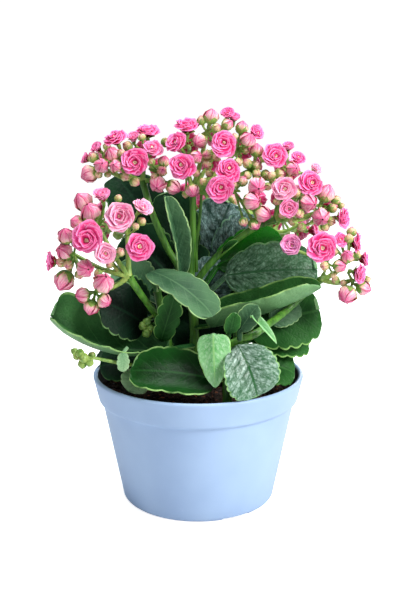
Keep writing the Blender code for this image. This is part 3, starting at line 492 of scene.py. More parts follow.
def set_bump(tree, shader, height, strength, distance):
    bump = add_node(tree, "ShaderNodeBump",
                    {"Height": height, "Strength": strength, "Distance": distance})
    tree.links.new(bump.outputs["Normal"], shader.inputs["Normal"])


# ---------------------------------------------------------------- finishes
# Side veins on each side of a blade, and how far each runs on by the time it meets the margin.
SIDE_VEINS = 7
VEIN_SLANT = .26
# How strongly veins, the pale margin and the scuffs on the pot show.
VEIN_SHOW = .4
MARGIN_SHOW = .85
SCUFF_SHOW = .3


def vein_slant(tree, along, off):
    """The share of the length at which a side vein through this point leaves the midrib."""
    return minus(tree, along, times(tree, off, VEIN_SLANT))


def make_vein_group():
    """The masks of a leaf's veins and margin, shared by every leaf finish."""
    tree = bpy.data.node_groups.new("leaf_veins", "ShaderNodeTree")
    for name in ("Veins", "Margin", "Network"):
        tree.interface.new_socket(name, in_out="OUTPUT", socket_type="NodeSocketFloat")
    along, off, _ = read_blade(tree)
    slant = vein_slant(tree, along, off)
    wobble = times(tree, minus(tree, object_noise(tree, 60), .5), .06)
    line = maths(tree, "FRACT", times(tree, plus(tree, slant, wobble), SIDE_VEINS))
    peak = times(tree, maths(tree, "ABSOLUTE", minus(tree, line, .5)), 2.0)
    side = times(tree, between(tree, peak, .86, 1.0), between(tree, off, 1.0, .6))
    midrib = between(tree, off, .075, .02)
    out = add_node(tree, "NodeGroupOutput")
    tree.links.new(maths(tree, "MAXIMUM", times(tree, side, .6), midrib), out.inputs["Veins"])
    rough_edge = times(tree, object_noise(tree, 260), .05)
    edge = plus(tree, off, minus(tree, rough_edge, .025))
    worn = between(tree, object_noise(tree, 95), .30, .62)
    margin = times(tree, between(tree, edge, .93, .975), worn)
    tree.links.new(margin, out.inputs["Margin"])
    place_in = add_node(tree, "ShaderNodeTexCoord").outputs["Object"]
    cells = add_node(tree, "ShaderNodeTexVoronoi", {"Vector": place_in, "Scale": 420.0},
                     feature="DISTANCE_TO_EDGE")
    tree.links.new(between(tree, cells.outputs["Distance"], 0, .28), out.inputs["Network"])
    return tree


def leaf_finish(name, deep, face, margin, vein, bloom_and_sheen=None, bloom_and_sheen_share=0.0, roughness=.4, gloss=.0,
                shine=.3, rough_skin=.35):
    """A thick waxy leaf: two greens in patches with painted shade towards the foot, veins, a pale
    margin and perhaps a bloom with painted sheen.
    """
    made, tree, shader = new_material(name, Specular_IOR_Level=shine, Coat_Weight=gloss,
                                      Coat_Roughness=.3)
    veins = add_node(tree, "ShaderNodeGroup", node_tree=VEINS)
    along, off, _ = read_blade(tree)
    # Painted shade and light: the darker green gathers towards the foot and the midrib and the
    # lighter one towards the tip and margins, broken up by random patches.
    outward = plus(tree, times(tree, along, .34), times(tree, off, .30))
    patches_and_shade = between(tree, plus(tree, times(tree, object_noise(tree, 70), .6), outward),
                      .42, .92)
    colour = blend_colour(tree, patches_and_shade, srgb(*deep), srgb(*face))
    colour = blend_colour(tree, times(tree, veins.outputs["Veins"], VEIN_SHOW), colour, srgb(*vein))
    speckle = object_noise(tree, 520, detail=8.0, roughness=.7)
    if bloom_and_sheen:
        # The chalky bloom, partly painted sheen and highlight, is brushed on in strokes that follow
        # the side veins.
        strokes = drawn_noise(tree, times(tree, vein_slant(tree, along, off), 24.0),
                              times(tree, off, 5.0), times(tree, object_noise(tree, 90), 5.0),
                              detail=6.0, roughness=.6)
        cover = times(tree, between(tree, strokes, .30, .70), between(tree, speckle, .20, .54))
        puffed = plus(tree, times(tree, veins.outputs["Network"], .5), .5)
        cover = times(tree, cover, puffed)
        clear = minus(tree, 1.0, veins.outputs["Veins"])
        cover = times(tree, times(tree, cover, clear), bloom_and_sheen_share)
        colour = blend_colour(tree, cover, colour, srgb(*bloom_and_sheen))
    colour = blend_colour(tree, times(tree, veins.outputs["Margin"], MARGIN_SHOW), colour,
                          srgb(*margin))
    tree.links.new(colour, shader.inputs["Base Color"])
    rough = plus(tree, times(tree, speckle, .22), roughness - .11)
    tree.links.new(rough, shader.inputs["Roughness"])
    relief = plus(tree, times(tree, veins.outputs["Network"], .6),
                   times(tree, speckle, .6))
    set_bump(tree, shader, relief, rough_skin, .0004)
    return made


def make_petal_finish():
    """Petals: deep pink at the foot, deepened by painted shade in the throat, clear pink in the
    blade, a pale rim that is partly a painted highlight, and a cream centre.
    """
    made, tree, shader = new_material("petal_pink", roughness=.55, Specular_IOR_Level=.3,
                                      Subsurface_Weight=.12, Subsurface_Scale=.002)
    along, off, across = read_blade(tree)
    tone = read_attribute(tree, "tone")

    def by_tone(hot, mid, pale, mauve):
        ramp = add_node(tree, "ShaderNodeValToRGB", {"Fac": tone})
        for _ in range(2):
            ramp.color_ramp.elements.new(.5)
        for element, position, colour in zip(ramp.color_ramp.elements, (HOT, MID, PALE, MAUVE),
                                             (hot, mid, pale, mauve)):
            element.position = position
            element.color = srgb(*colour)
        return ramp.outputs["Color"]

    # The deep foot colour is partly the petals' own and partly painted shade in the flower's
    # throat.
    foot = by_tone((150, 0, 44), (164, 16, 66), (186, 48, 102), (126, 30, 82))
    blade = by_tone((226, 40, 122), (226, 80, 140), (232, 116, 164), (198, 90, 148))
    rim = by_tone((250, 146, 200), (248, 160, 202), (252, 192, 214), (234, 160, 200))
    streak = drawn_noise(tree, times(tree, along, 1.6), times(tree, across, 14.0),
                         times(tree, object_noise(tree, 40), 6.0), detail=3.0)
    shift = times(tree, minus(tree, streak, .5), .35)
    inner = read_attribute(tree, "inner")
    # Inner layers take more of the deep foot colour, as painted shade deeper in the flower.
    reach = minus(tree, plus(tree, along, shift), times(tree, inner, .22))
    colour = blend_colour(tree, between(tree, reach, .30, .70), foot, blade)
    # The pale rim at the tips and sides is partly the petals' own paler edge and partly a painted
    # highlight.
    near_end = between(tree, plus(tree, along, shift), .78, 1.02)
    near_side = times(tree, between(tree, off, .78, 1.0), between(tree, along, .35, .8))
    colour = blend_colour(tree, maths(tree, "MAXIMUM", near_end, near_side), colour, rim)
    cream = blend_colour(tree, along, srgb(232, 196, 140), srgb(254, 238, 216))
    colour = blend_colour(tree, between(tree, inner, .86, .98), colour, cream)
    tree.links.new(colour, shader.inputs["Base Color"])
    set_bump(tree, shader, streak, .25, .0003)
    return made


def make_bud_finish():
    """Buds: green at the foot and streaked pink above, the riper the pinker, with dark seams."""
    made, tree, shader = new_material("bud_pink", roughness=.5, Specular_IOR_Level=.35,
                                      Subsurface_Weight=.1, Subsurface_Scale=.002)
    along, off, across = read_blade(tree)
    ripe = read_attribute(tree, "tone")
    spots = times(tree, minus(tree, object_noise(tree, 240), .5), .3)
    streaks = drawn_noise(tree, times(tree, along, 1.2), times(tree, across, 9.0),
                          times(tree, object_noise(tree, 45), 9.0), detail=3.0)
    reach = plus(tree, plus(tree, along, spots), times(tree, ripe, .75))
    unripe = blend_colour(tree, between(tree, reach, .30, .95), srgb(134, 156, 66),
                          srgb(214, 190, 136))
    unripe = blend_colour(tree, between(tree, streaks, .48, .66), unripe, srgb(206, 134, 122))
    fringe = plus(tree, plus(tree, along, spots),
                   times(tree, minus(tree, streaks, .5), 1.0))
    pink = blend_colour(tree, between(tree, fringe, .12, .62), srgb(210, 200, 138),
                        srgb(240, 166, 182))
    pink = blend_colour(tree, between(tree, fringe, .45, 1.0), pink, srgb(220, 84, 138))
    colour = blend_colour(tree, between(tree, reach, .78, 1.15), unripe, pink)
    pale = times(tree, between(tree, streaks, .50, .36), between(tree, along, .2, .6))
    colour = blend_colour(tree, times(tree, pale, .5), colour, srgb(250, 206, 212))
    seam = times(tree, between(tree, off, .84, 1.0), between(tree, reach, .7, 1.2))
    colour = blend_colour(tree, times(tree, seam, .8), colour, srgb(178, 34, 86))
    tree.links.new(colour, shader.inputs["Base Color"])
    set_bump(tree, shader, object_noise(tree, 700), .2, .0003)
    return made


def make_green_finish(name, low, high, blush, stretch, roughness=.42):
    """Stems and sepals: two greens in streaks, with a little red where the light catches."""
    made, tree, shader = new_material(name, roughness=roughness, Specular_IOR_Level=.4,
                                      Subsurface_Weight=.08, Subsurface_Scale=.002)
    place_in = add_node(tree, "ShaderNodeTexCoord").outputs["Object"]
    drawn = add_node(tree, "ShaderNodeMapping", {"Vector": place_in, "Scale": (1, 1, stretch)})
    streaks = add_node(tree, "ShaderNodeTexNoise",
                       {"Vector": drawn.outputs[0], "Scale": 420.0, "Detail": 4.0}).outputs["Fac"]
    broad = object_noise(tree, 45)
    share = between(tree, plus(tree, times(tree, streaks, .6),
                                times(tree, broad, .6)), .42, .78)
    colour = blend_colour(tree, share, srgb(*low), srgb(*high))
    warm = times(tree, between(tree, object_noise(tree, 130), .60, .78), .55)
    colour = blend_colour(tree, warm, colour, srgb(*blush))
    tree.links.new(colour, shader.inputs["Base Color"])
    set_bump(tree, shader, streaks, .3, .0004)
    return made


def make_pot_finish():
    """Thin satin plastic with faint clouds, a fine grain and fine scuffs."""
    made, tree, shader = new_material("pot_blue", Specular_IOR_Level=.35)
    clouds = object_noise(tree, 22, detail=3.0)
    grain = object_noise(tree, 900, detail=2.0)
    colour = blend_colour(tree, between(tree, clouds, .3, .7), srgb(149, 175, 211),
                          srgb(160, 186, 219))
    scuffs = times(tree, between(tree, object_noise(tree, 190, detail=9.0, roughness=.75),
                                             .60, .74), SCUFF_SHOW)
    colour = blend_colour(tree, scuffs, colour, srgb(172, 194, 226))
    tree.links.new(colour, shader.inputs["Base Color"])
    rough = plus(tree, times(tree, clouds, .2), .36)
    tree.links.new(rough, shader.inputs["Roughness"])
    set_bump(tree, shader, grain, .12, .0002)
    return made


def make_pot_inside_finish():
    """The pot's black inner face, dusty in patches."""
    made, tree, shader = new_material("pot_black", Specular_IOR_Level=.35)
    dust = between(tree, object_noise(tree, 160, detail=8.0), .5, .75)
    colour = blend_colour(tree, dust, srgb(24, 24, 30), srgb(62, 54, 50))
    tree.links.new(colour, shader.inputs["Base Color"])
    tree.links.new(plus(tree, times(tree, dust, .3), .4), shader.inputs["Roughness"])
    set_bump(tree, shader, dust, .2, .0003)
    return made


def make_soil_finish(name, dark, brown, fibre):
    """Moist peaty soil: near black with brown flecks and fibres."""
    made, tree, shader = new_material(name, roughness=.9, Specular_IOR_Level=.25)
    flecks = between(tree, object_noise(tree, 420, detail=9.0, roughness=.75), .42, .68)
    colour = blend_colour(tree, flecks, srgb(*dark), srgb(*brown))
    bits = between(tree, object_noise(tree, 230, detail=6.0, roughness=.8), .62, .70)
    colour = blend_colour(tree, times(tree, bits, .8), colour, srgb(*fibre))
    tree.links.new(colour, shader.inputs["Base Color"])
    set_bump(tree, shader, object_noise(tree, 800, detail=8.0), .8, .001)
    return made


VEINS = make_vein_group()
# Leaf finishes: the colours of the darker green (painted shade towards the foot and midrib), face,
# margin and veins, and what differs from plain.
LEAF_FINISHES = {
    "leaf_dark": ([(4, 30, 18), (20, 58, 32), (96, 138, 80), (34, 74, 46)],
                  dict(shine=.1, roughness=.5)),
    # A shaded copy of leaf_dark: painted shade for a leaf that lies in shadow.
    "leaf_painted_shade": ([(0, 12, 6), (6, 32, 18), (110, 150, 90), (20, 54, 34)],
                   dict(shine=.07, roughness=.5)),
    "leaf_face": ([(12, 54, 16), (42, 96, 38), (140, 186, 102), (64, 118, 56)],
                  dict(shine=.12, roughness=.48)),
    "leaf_mid": ([(20, 68, 28), (64, 118, 62), (142, 186, 108), (80, 134, 74)],
                 dict(shine=.16, roughness=.48)),
    "leaf_grey": ([(50, 90, 60), (88, 130, 92), (170, 204, 134), (112, 152, 110)],
                  dict(shine=.2, roughness=.48)),
    "leaf_pale": ([(104, 146, 104), (150, 186, 140), (190, 216, 160), (160, 196, 150)],
                  dict(shine=.2, roughness=.5)),
    "leaf_dusty": ([(34, 70, 44), (74, 112, 76), (156, 190, 124), (98, 138, 96)],
                   dict(shine=.2, roughness=.5)),
    "leaf_glossy": ([(2, 36, 6), (16, 70, 18), (160, 204, 122), (34, 92, 34)],
                    dict(roughness=.36, gloss=.04, shine=.13, rough_skin=.2)),
    # The pale strokes of the finishes with a bloom are partly a chalky bloom and partly painted
    # sheen.
    "leaf_bloom_and_sheen": ([(14, 64, 30), (42, 100, 58), (130, 180, 100), (26, 92, 34)],
                     dict(bloom_and_sheen=(200, 226, 214), bloom_and_sheen_share=.66, roughness=.34)),
    "leaf_dark_bloom_and_sheen": ([(4, 32, 26), (24, 64, 52), (100, 146, 110), (34, 78, 62)],
                          dict(bloom_and_sheen=(168, 206, 204), bloom_and_sheen_share=.62, shine=.2)),
    "leaf_sheen": ([(8, 46, 20), (36, 88, 46), (104, 150, 92), (40, 90, 52)],
                   dict(bloom_and_sheen=(140, 180, 152), bloom_and_sheen_share=.5, shine=.24)),
    # A bright copy of the leaf greens: painted light shining through the leaf.
    "leaf_painted_backlight": ([(2, 56, 2), (12, 100, 4), (60, 128, 40), (36, 120, 20)],
                 dict(shine=.1)),
    "leaf_fresh": ([(70, 142, 70), (140, 200, 134), (160, 216, 84), (176, 218, 146)],
                   dict(bloom_and_sheen=(214, 238, 212), bloom_and_sheen_share=.4)),
    "leaf_under": ([(70, 118, 72), (112, 156, 104), (160, 196, 122), (130, 170, 116)],
                   dict(shine=.2, roughness=.5)),
}
FINISHES = {
    **{name: leaf_finish(name, *colours, **other)
       for name, (colours, other) in LEAF_FINISHES.items()},
    "petal": make_petal_finish(),
    "bud": make_bud_finish(),
    "stem": make_green_finish("stem_green", (28, 74, 16), (88, 142, 44), (108, 128, 54), .12),
    "sepal": make_green_finish("sepal_green", (92, 138, 56), (160, 184, 96), (196, 150, 110), .5),
    "pot": make_pot_finish(),
    "pot_inside": make_pot_inside_finish(),
    "soil": make_soil_finish("soil_peat", (20, 14, 12), (58, 38, 28), (120, 76, 50)),
    "bark": make_soil_finish("soil_bark", (74, 40, 26), (134, 80, 50), (170, 120, 84)),
}


# ---------------------------------------------------------------- shapes that are bent into place
def grid_shape(along, across):
    """A closed two-sided grid: x and y run from -0.5 to 0.5, z is 1 on top and -1 below."""
    bm = bmesh.new()
    for name in ("tone", "inner"):
        bm.verts.layers.float.new(name)
    uv = bm.loops.layers.uv.new("blade")
    bmesh.ops.create_grid(bm, x_segments=along, y_segments=across, size=.5)
    grown = bmesh.ops.extrude_face_region(bm, geom=bm.faces[:], use_keep_orig=True)
    below = [item for item in grown["geom"] if isinstance(item, bmesh.types.BMVert)]
    for face in bm.faces:
        for loop in face.loops:
            loop[uv].uv = (loop.vert.co.x + .5, loop.vert.co.y + .5)
    for vert in bm.verts:
        vert.co.z = 1
    for vert in below:
        vert.co.z = -1
    for face in bm.faces:
        face.material_index = 1 if all(loop.vert.co.z < 0 for loop in face.loops) else 0
    return bm


def tube_shape(rings, sides):
    """A closed tube of radius 1 with z from 0 to 1."""
    bm = bmesh.new()
    for name in ("tone", "inner"):
        bm.verts.layers.float.new(name)
    bm.loops.layers.uv.new("blade")
    bmesh.ops.create_circle(bm, cap_ends=True, radius=1, segments=sides)
    top = bm.faces[:]
    for ring in range(rings):
        grown = bmesh.ops.extrude_face_region(bm, geom=top, use_keep_orig=ring == 0)
        verts = [item for item in grown["geom"] if isinstance(item, bmesh.types.BMVert)]
        bmesh.ops.translate(bm, verts=verts, vec=(0, 0, 1 / rings))
        top = [item for item in grown["geom"] if isinstance(item, bmesh.types.BMFace)]
    bmesh.ops.recalc_face_normals(bm, faces=bm.faces[:])
    return bm


SCRATCH = bpy.data.meshes.new("scratch")
PETAL_SHAPE = grid_shape(5, 4)
BUD_PETAL_SHAPE = grid_shape(4, 3)
PEDICEL_SHAPE = tube_shape(4, 6)
STEM_SHAPE = tube_shape(24, 14)


def stamp(bm, shape, bend, tone=0.0, inner=0.0):
    """Add a copy of a shape to a bmesh, each of its points bent into place by a function."""
    part = shape.copy()
    tones, inners = part.verts.layers.float["tone"], part.verts.layers.float["inner"]
    for vert in part.verts:
        vert.co = bend(vert.co)
        vert[tones] = tone
        vert[inners] = inner
    part.to_mesh(SCRATCH)
    part.free()
    bm.from_mesh(SCRATCH)


def across_frame(direction):
    """Two directions square to a direction."""
    helper = Vector((0, 0, 1)) if abs(direction.z) < .9 else Vector((1, 0, 0))
    first = direction.cross(helper).normalized()
    return first, direction.cross(first).normalized()


def around(first, second, turn):
    """The direction at an angle round an axis, from two directions square to it."""
    return first * math.cos(turn) + second * math.sin(turn)


def path_point(points, share):
    """The position and direction on a smooth curve through points (Catmull-Rom)."""
    ends = [points[0] * 2 - points[1]] + points + [points[-1] * 2 - points[-2]]
    place_on = clamp(share, 0, .9999) * (len(points) - 1)
    index = int(place_on)
    t = place_on - index
    before, start, end, after = ends[index:index + 4]
    slope = end - before
    squared = 2 * before - 5 * start + 4 * end - after
    cubed = 3 * start - before - 3 * end + after
    position = 0.5 * (2 * start + slope * t + squared * t * t + cubed * t * t * t)
    direction = 0.5 * (slope + 2 * squared * t + 3 * cubed * t * t)
    return position, direction.normalized()


def stamp_tube(bm, shape, points, radius_at, tone=0.0):
    """A tube along a curve, its radius given by a function of the share of its length."""
    def bend(co):
        position, direction = path_point(points, co.z)
        first, second = across_frame(direction)
        return position + (first * co.x + second * co.y) * radius_at(co.z)
    stamp(bm, shape, bend, tone)


# ---------------------------------------------------------------- pot and soil
def spin_round(profile, steps):
    """A turned shape from a profile that starts and ends on the axis."""
    bm = bmesh.new()
    verts = [bm.verts.new((radius, 0, height)) for radius, height in profile]
    edges = [bm.edges.new(pair) for pair in zip(verts, verts[1:])]
    bmesh.ops.spin(bm, geom=verts + edges, cent=(0, 0, 0), axis=(0, 0, 1), angle=math.tau,
                   steps=steps, use_merge=True)
    bmesh.ops.remove_doubles(bm, verts=bm.verts[:], dist=1e-6)
    bmesh.ops.recalc_face_normals(bm, faces=bm.faces[:])
    return bm


def arc(centre_radius, centre_height, size, first, last, count):
    """Points on an arc of a profile, its angles in degrees from straight out."""
    turns = [math.radians(first + (last - first) * step / count) for step in range(count + 1)]
    return [(centre_radius + size * math.cos(turn), centre_height + size * math.sin(turn))
            for turn in turns]


# Heights of the body's rings, and how far under the crease its straight run ends.
BODY_RINGS = (20 * MM, 40 * MM)
BODY_END = 1.2 * MM
# The crease under the step and the collar's foot: points out and up from each, in millimetres.
CREASE_POINTS = [(-.1, -.3), (.3, .25)]
COLLAR_POINTS = [(-.25, -.5), (0, .4)]
# The step bulges here, as shares of its width and height.
STEP_BULGE = (.7, .35)
# The collar stands in from the rim by this much, just under the lip.
LIP_OVERHANG = .35 * MM
INSIDE_RING = 30 * MM
DRAIN_STEPS = 24

COLLAR_FOOT = RIM_RADIUS - COLLAR_TAPER
CREASE = COLLAR_FOOT - STEP_WIDTH
COLLAR_Z = POT_HEIGHT - COLLAR_HEIGHT
CREASE_Z = COLLAR_Z - STEP_HEIGHT
FLOOR_TOP = RECESS + FLOOR


def inner_radius(height):
    """The pot's inside radius at a height."""
    levels = [(FLOOR_TOP, BASE_RADIUS - WALL), (CREASE_Z, CREASE - WALL),
              (COLLAR_Z, COLLAR_FOOT - WALL), (POT_HEIGHT, RIM_RADIUS - LIP)]
    for (low, radius_low), (high, radius_high) in zip(levels, levels[1:]):
        if height <= high:
            return radius_low + (radius_high - radius_low) * (height - low) / (high - low)
    return RIM_RADIUS - LIP


def make_pot():
    """The nursery pot: a thin turned wall with a rounded lip, a step, notches and drain holes."""
    ring = BASE_RADIUS - CORNER
    body_lean = (CREASE - BASE_RADIUS) / (CREASE_Z - CORNER)
    profile = [(0, 0), (PAD_RADIUS, 0), (PAD_RADIUS, RECESS), (ring - FOOT_RING, RECESS),
               (ring - FOOT_RING, 0)]
    profile += arc(ring, CORNER, CORNER, -90, 0, 6)
    profile += [(BASE_RADIUS + body_lean * (height - CORNER), height)
                for height in (*BODY_RINGS, CREASE_Z - BODY_END)]
    profile += [(CREASE + out * MM, CREASE_Z + up * MM) for out, up in CREASE_POINTS]
    profile += [(CREASE + STEP_WIDTH * STEP_BULGE[0], CREASE_Z + STEP_HEIGHT * STEP_BULGE[1])]
    profile += [(COLLAR_FOOT + out * MM, COLLAR_Z + up * MM) for out, up in COLLAR_POINTS]
    profile += [(RIM_RADIUS - LIP_OVERHANG, POT_HEIGHT - LIP)]
    profile += arc(RIM_RADIUS - LIP / 2, POT_HEIGHT - LIP / 2, LIP / 2, 0, 180, 10)
    inside_from = len(profile) - 2
    profile += [(inner_radius(height), height)
                for height in (COLLAR_Z, CREASE_Z, INSIDE_RING, FLOOR_TOP)]
    profile += [(0, FLOOR_TOP)]
    inside_top = profile[inside_from][1]
    pot = spin_round(profile, POT_STEPS)
    for face in pot.faces:
        middle = face.calc_center_median()
        radius = math.hypot(middle.x, middle.y)
        below_lip = FLOOR_TOP - .1 * MM < middle.z < inside_top
        if below_lip and radius < inner_radius(middle.z) + WALL * .5:
            face.material_index = 1
    piece = finish_mesh("pot_shell", pot, [FINISHES["pot"], FINISHES["pot_inside"]],
                        ["pot"])
    cutter = bmesh.new()
    for count in range(NOTCH_COUNT):
        angle = math.radians(FIRST_NOTCH + 360 / NOTCH_COUNT * count)
        at_ring = Matrix.Rotation(angle, 4, "Z") @ Matrix.Translation((BASE_RADIUS, 0, 0))
        bmesh.ops.create_cube(cutter, size=1, matrix=at_ring @ Matrix.Diagonal((*NOTCH, 1)))
    for count in range(DRAIN_COUNT):
        turn = math.tau * (count + .5) / DRAIN_COUNT
        middle = Vector((DRAIN_CIRCLE * math.cos(turn), DRAIN_CIRCLE * math.sin(turn), RECESS))
        bmesh.ops.create_cone(cutter, cap_ends=True, segments=DRAIN_STEPS, radius1=DRAIN_RADIUS,
                              radius2=DRAIN_RADIUS, depth=FLOOR * 4,
                              matrix=Matrix.Translation(middle))
    mesh = bpy.data.meshes.new("pot_cutter")
    cutter.to_mesh(mesh)
    cutter.free()
    tool = link_object("pot_cutter", mesh)
    cut = piece.modifiers.new("cut", "BOOLEAN")
    cut.operation = "DIFFERENCE"
    cut.object = tool
    graph = bpy.context.evaluated_depsgraph_get()
    shaped = bpy.data.meshes.new_from_object(piece.evaluated_get(graph))
    piece.modifiers.clear()
    piece.data = shaped
    bpy.data.objects.remove(tool)


SOIL_CELLS = 110
SOIL_LUMP = 6 * MM
SOIL_ROUGHNESS = 1.1 * MM
# How far the rough surface lies under the smooth solid's, and clear of the pot.
SOIL_SINK = .6 * MM
SOIL_GAP = .3 * MM
# What lies on the soil: how many, finish, smallest and largest size in millimetres, flatness.
LOOSE_BITS = {
    "soil_crumbs": (1500, "soil", (.5, 1.5), .8),
    "soil_bark": (260, "bark", (.6, 1.7), .35),
}
BITS_FROM_WALL = 1.5 * MM
BIT_ROUGHNESS = .35


def soil_height(x, y):
    """The soil surface, crowned in the middle and rough."""
    radius = math.hypot(x, y) / inner_radius(SOIL_TOP)
    crown = SOIL_CROWN * (1 - 2 * ease(radius, .3, 1))
    rough = noise.fractal(Vector((x, y, 0)) / SOIL_LUMP, .8, 2.1, 5) * SOIL_ROUGHNESS
    return SOIL_TOP + crown + rough * (1 - ease(radius, .9, 1.0)) - SOIL_SINK


def make_soil():
    """The potting mix: a rough surface over a plain body, with crumbs and bark lying on it."""
    edge = inner_radius(SOIL_TOP - SOIL_CROWN) - SOIL_GAP
    bm = bmesh.new()
    made = bmesh.ops.create_grid(bm, x_segments=SOIL_CELLS, y_segments=SOIL_CELLS, size=1)
    for vert in made["verts"]:
        x, y = vert.co.x, vert.co.y
        # A square grid eased into a disc, so that its cells stay even.
        vert.co = Vector((x * math.sqrt(1 - y * y / 2), y * math.sqrt(1 - x * x / 2), 0)) * edge
        vert.co.z = soil_height(vert.co.x, vert.co.y)
    grown = bmesh.ops.extrude_face_region(bm, geom=bm.faces[:], use_keep_orig=True)
    low_radius = inner_radius(FLOOR_TOP) - 2 * SOIL_GAP
    for item in grown["geom"]:
        if isinstance(item, bmesh.types.BMVert):
            item.co = Vector((item.co.x * low_radius / edge, item.co.y * low_radius / edge,
                              FLOOR_TOP + SOIL_GAP))
    finish_mesh("soil", bm, [FINISHES["soil"]], ["potting_mix"])
    for name, (count, finish, sizes, flat) in LOOSE_BITS.items():
        bits = bmesh.new()
        for _ in range(count):
            turn = RANDOM.uniform(0, math.tau)
            reach = math.sqrt(RANDOM.uniform(0, 1)) * (edge - BITS_FROM_WALL)
            x, y = reach * math.cos(turn), reach * math.sin(turn)
            size = RANDOM.uniform(*sizes) * MM
            spot = Vector((x, y, soil_height(x, y) + size * .2 * flat))
            lean = Matrix.Rotation(RANDOM.uniform(0, math.tau), 4,
                                   Vector((RANDOM.gauss(0, 1), RANDOM.gauss(0, 1), 3)).normalized())
            shape = Matrix.Diagonal((RANDOM.uniform(.7, 1.5), RANDOM.uniform(.5, 1), flat, 1))
            crumb = bmesh.new()
            bmesh.ops.create_icosphere(crumb, subdivisions=1, radius=size,
                                       matrix=Matrix.Translation(spot) @ lean @ shape)
            for vert in crumb.verts:
                vert.co += noise.noise_vector(vert.co * 900) * size * BIT_ROUGHNESS
            crumb.to_mesh(SCRATCH)
            crumb.free()
            bits.from_mesh(SCRATCH)
        finish_mesh(name, bits, [FINISHES[finish]], sharp=30)


# ---------------------------------------------------------------- stems
STEM_TAPER = .85
STEM_RIPPLE = .04
STEM_RIPPLES = 19
FORK_SWELL = .16


def make_stem(name, points, diameter):
    """A shoot or stalk, thinner towards its top and a little swollen where it forks."""
    path = [place(point) for point in points]
    phase = RANDOM.uniform(0, math.tau)

    def radius_at(share):
        ripple = STEM_RIPPLE * math.sin(share * STEM_RIPPLES + phase)
        swell = FORK_SWELL * ease(share, .93, 1)
        return diameter * MM / 2 * (1 + (STEM_TAPER - 1) * share + ripple + swell)

    bm = bmesh.new()
    stamp_tube(bm, STEM_SHAPE, path, radius_at)
    nodes = [name] if name in SHOOTS or name in STALKS else []
    finish_mesh(name + "_skin", bm, [FINISHES["stem"]], nodes)


# ---------------------------------------------------------------- leaves
LEAF_ALONG = 66
LEAF_ACROSS = 18
# The share of a leaf's rows that make its stalk.
STALK_SHARE = .14
STALK_WIDTH = 3.6 * MM
STALK_DEPTH = 2.6 * MM
LEAF_DEPTH = 1.3 * MM
EDGE_DEPTH = .45 * MM
# A small leaf's stalk is never more than these shares of its blade's width.
STALK_WIDTH_SHARE = .3
STALK_DEPTH_SHARE = .22
# Blades narrower than this are thinner too.
FULL_BLADE = 14 * MM
FOLD_ROUNDING = .02
# Scallops across half of a blade's end.
END_LOBES = 1.3
# How evenly the rows of a blade are spread: 1 is even, and less crowds them at both ends.
EVENNESS = .45
# The scallops of the two margins are out of step by this much, and the waves by this angle.
SCALLOP_SHIFT = .31
WAVE_SHIFT = 1.3
WAVE_RATE = 9
WAVE_HEIGHT = .6
# How high a quilted blade puffs up between its veins, and how deep its midrib lies, in millimetres.
QUILT_RISE = .55
MIDRIB_SINK = .35
# How far apart the points are that give the surface's slope.
SLOPE_STEP = .004


def blade_share(u, peak):
    """Half width of a blade, as a share of its greatest, at the share u of its length."""
    u = clamp(u, .000001, .999999)
    return (u ** peak * (1 - u) ** (1 - peak)) / (peak ** peak * (1 - peak) ** (1 - peak))


def stalk_width(width):
    """The width of a leaf's stalk, less on a small leaf."""
    return min(STALK_WIDTH, width * STALK_WIDTH_SHARE)


def leaf_surface(plan, look, phase, along, across):
    """A point of a leaf's middle surface: along runs 0 to 1, across runs -1 to 1."""
    start, foot, tip, width, upward, fold, bow, peak, blunt = plan
    _, scallops, scallop_depth, curl, wave, quilt = look
    axis = (tip - foot).normalized()
    up = (upward - axis * axis.dot(upward)).normalized()
    side = axis.cross(up)
    if along < STALK_SHARE:
        share = along / STALK_SHARE
        run = (foot - start).normalized()
        square = run.cross(up - run * run.dot(up)).normalized()
        side = square.lerp(side, share).normalized()
        centre = start.lerp(foot, share)
        return centre + side * stalk_width(width) / 2 * across * (.8 + .2 * share)
    raw = (along - STALK_SHARE) / (1 - STALK_SHARE)
    u = raw * EVENNESS + (1 - EVENNESS) * (3 * raw * raw - 2 * raw ** 3)
    centre = foot.lerp(tip, u) + up * bow * 4 * u * (1 - u)
    end_turn = math.pi * END_LOBES * across + phase * 2
    centre -= axis * scallop_depth * MM * (1 - math.sqrt(abs(math.cos(end_turn)))) * ease(u, .86, 1)
    half = max(stalk_width(width) / 2 * (1 - u) ** 2, width / 2 * blade_share(u, peak) ** blunt)
    shift, wave_shift = (SCALLOP_SHIFT, WAVE_SHIFT) if across < 0 else (0, 0)
    turn = math.pi * scallops * (u * 1.04 + shift / scallops) + phase
    notch = 1 - math.sqrt(abs(math.cos(turn)))
    cut = scallop_depth * MM * notch * ease(u, .12, .3) * ease(u, 1.0, .95) * abs(across) ** 5
    reach = half * across - math.copysign(min(cut, half * .5), across)
    lift = math.radians(fold)
    rounded = math.sqrt(across * across + FOLD_ROUNDING) - math.sqrt(FOLD_ROUNDING)
    rise = half * rounded * math.sin(lift) + half * curl * abs(across) ** 3
    swing = math.sin(u * WAVE_RATE + phase * 3 + wave_shift)
    rise += width * wave * swing * across * across * WAVE_HEIGHT
    # The blade is pinched along its veins and puffs up between them.
    line = (u - VEIN_SLANT * abs(across)) * SIDE_VEINS
    puff = math.sin(math.pi * (line - math.floor(line))) ** .7
    inside = ease(abs(across), 0, .25) * ease(abs(across), 1, .75)
    rise += quilt * QUILT_RISE * MM * (puff - .6) * inside
    rise -= quilt * MIDRIB_SINK * MM * (1 - ease(abs(across), 0, .12))
    return centre + side * reach * math.cos(lift) + up * rise


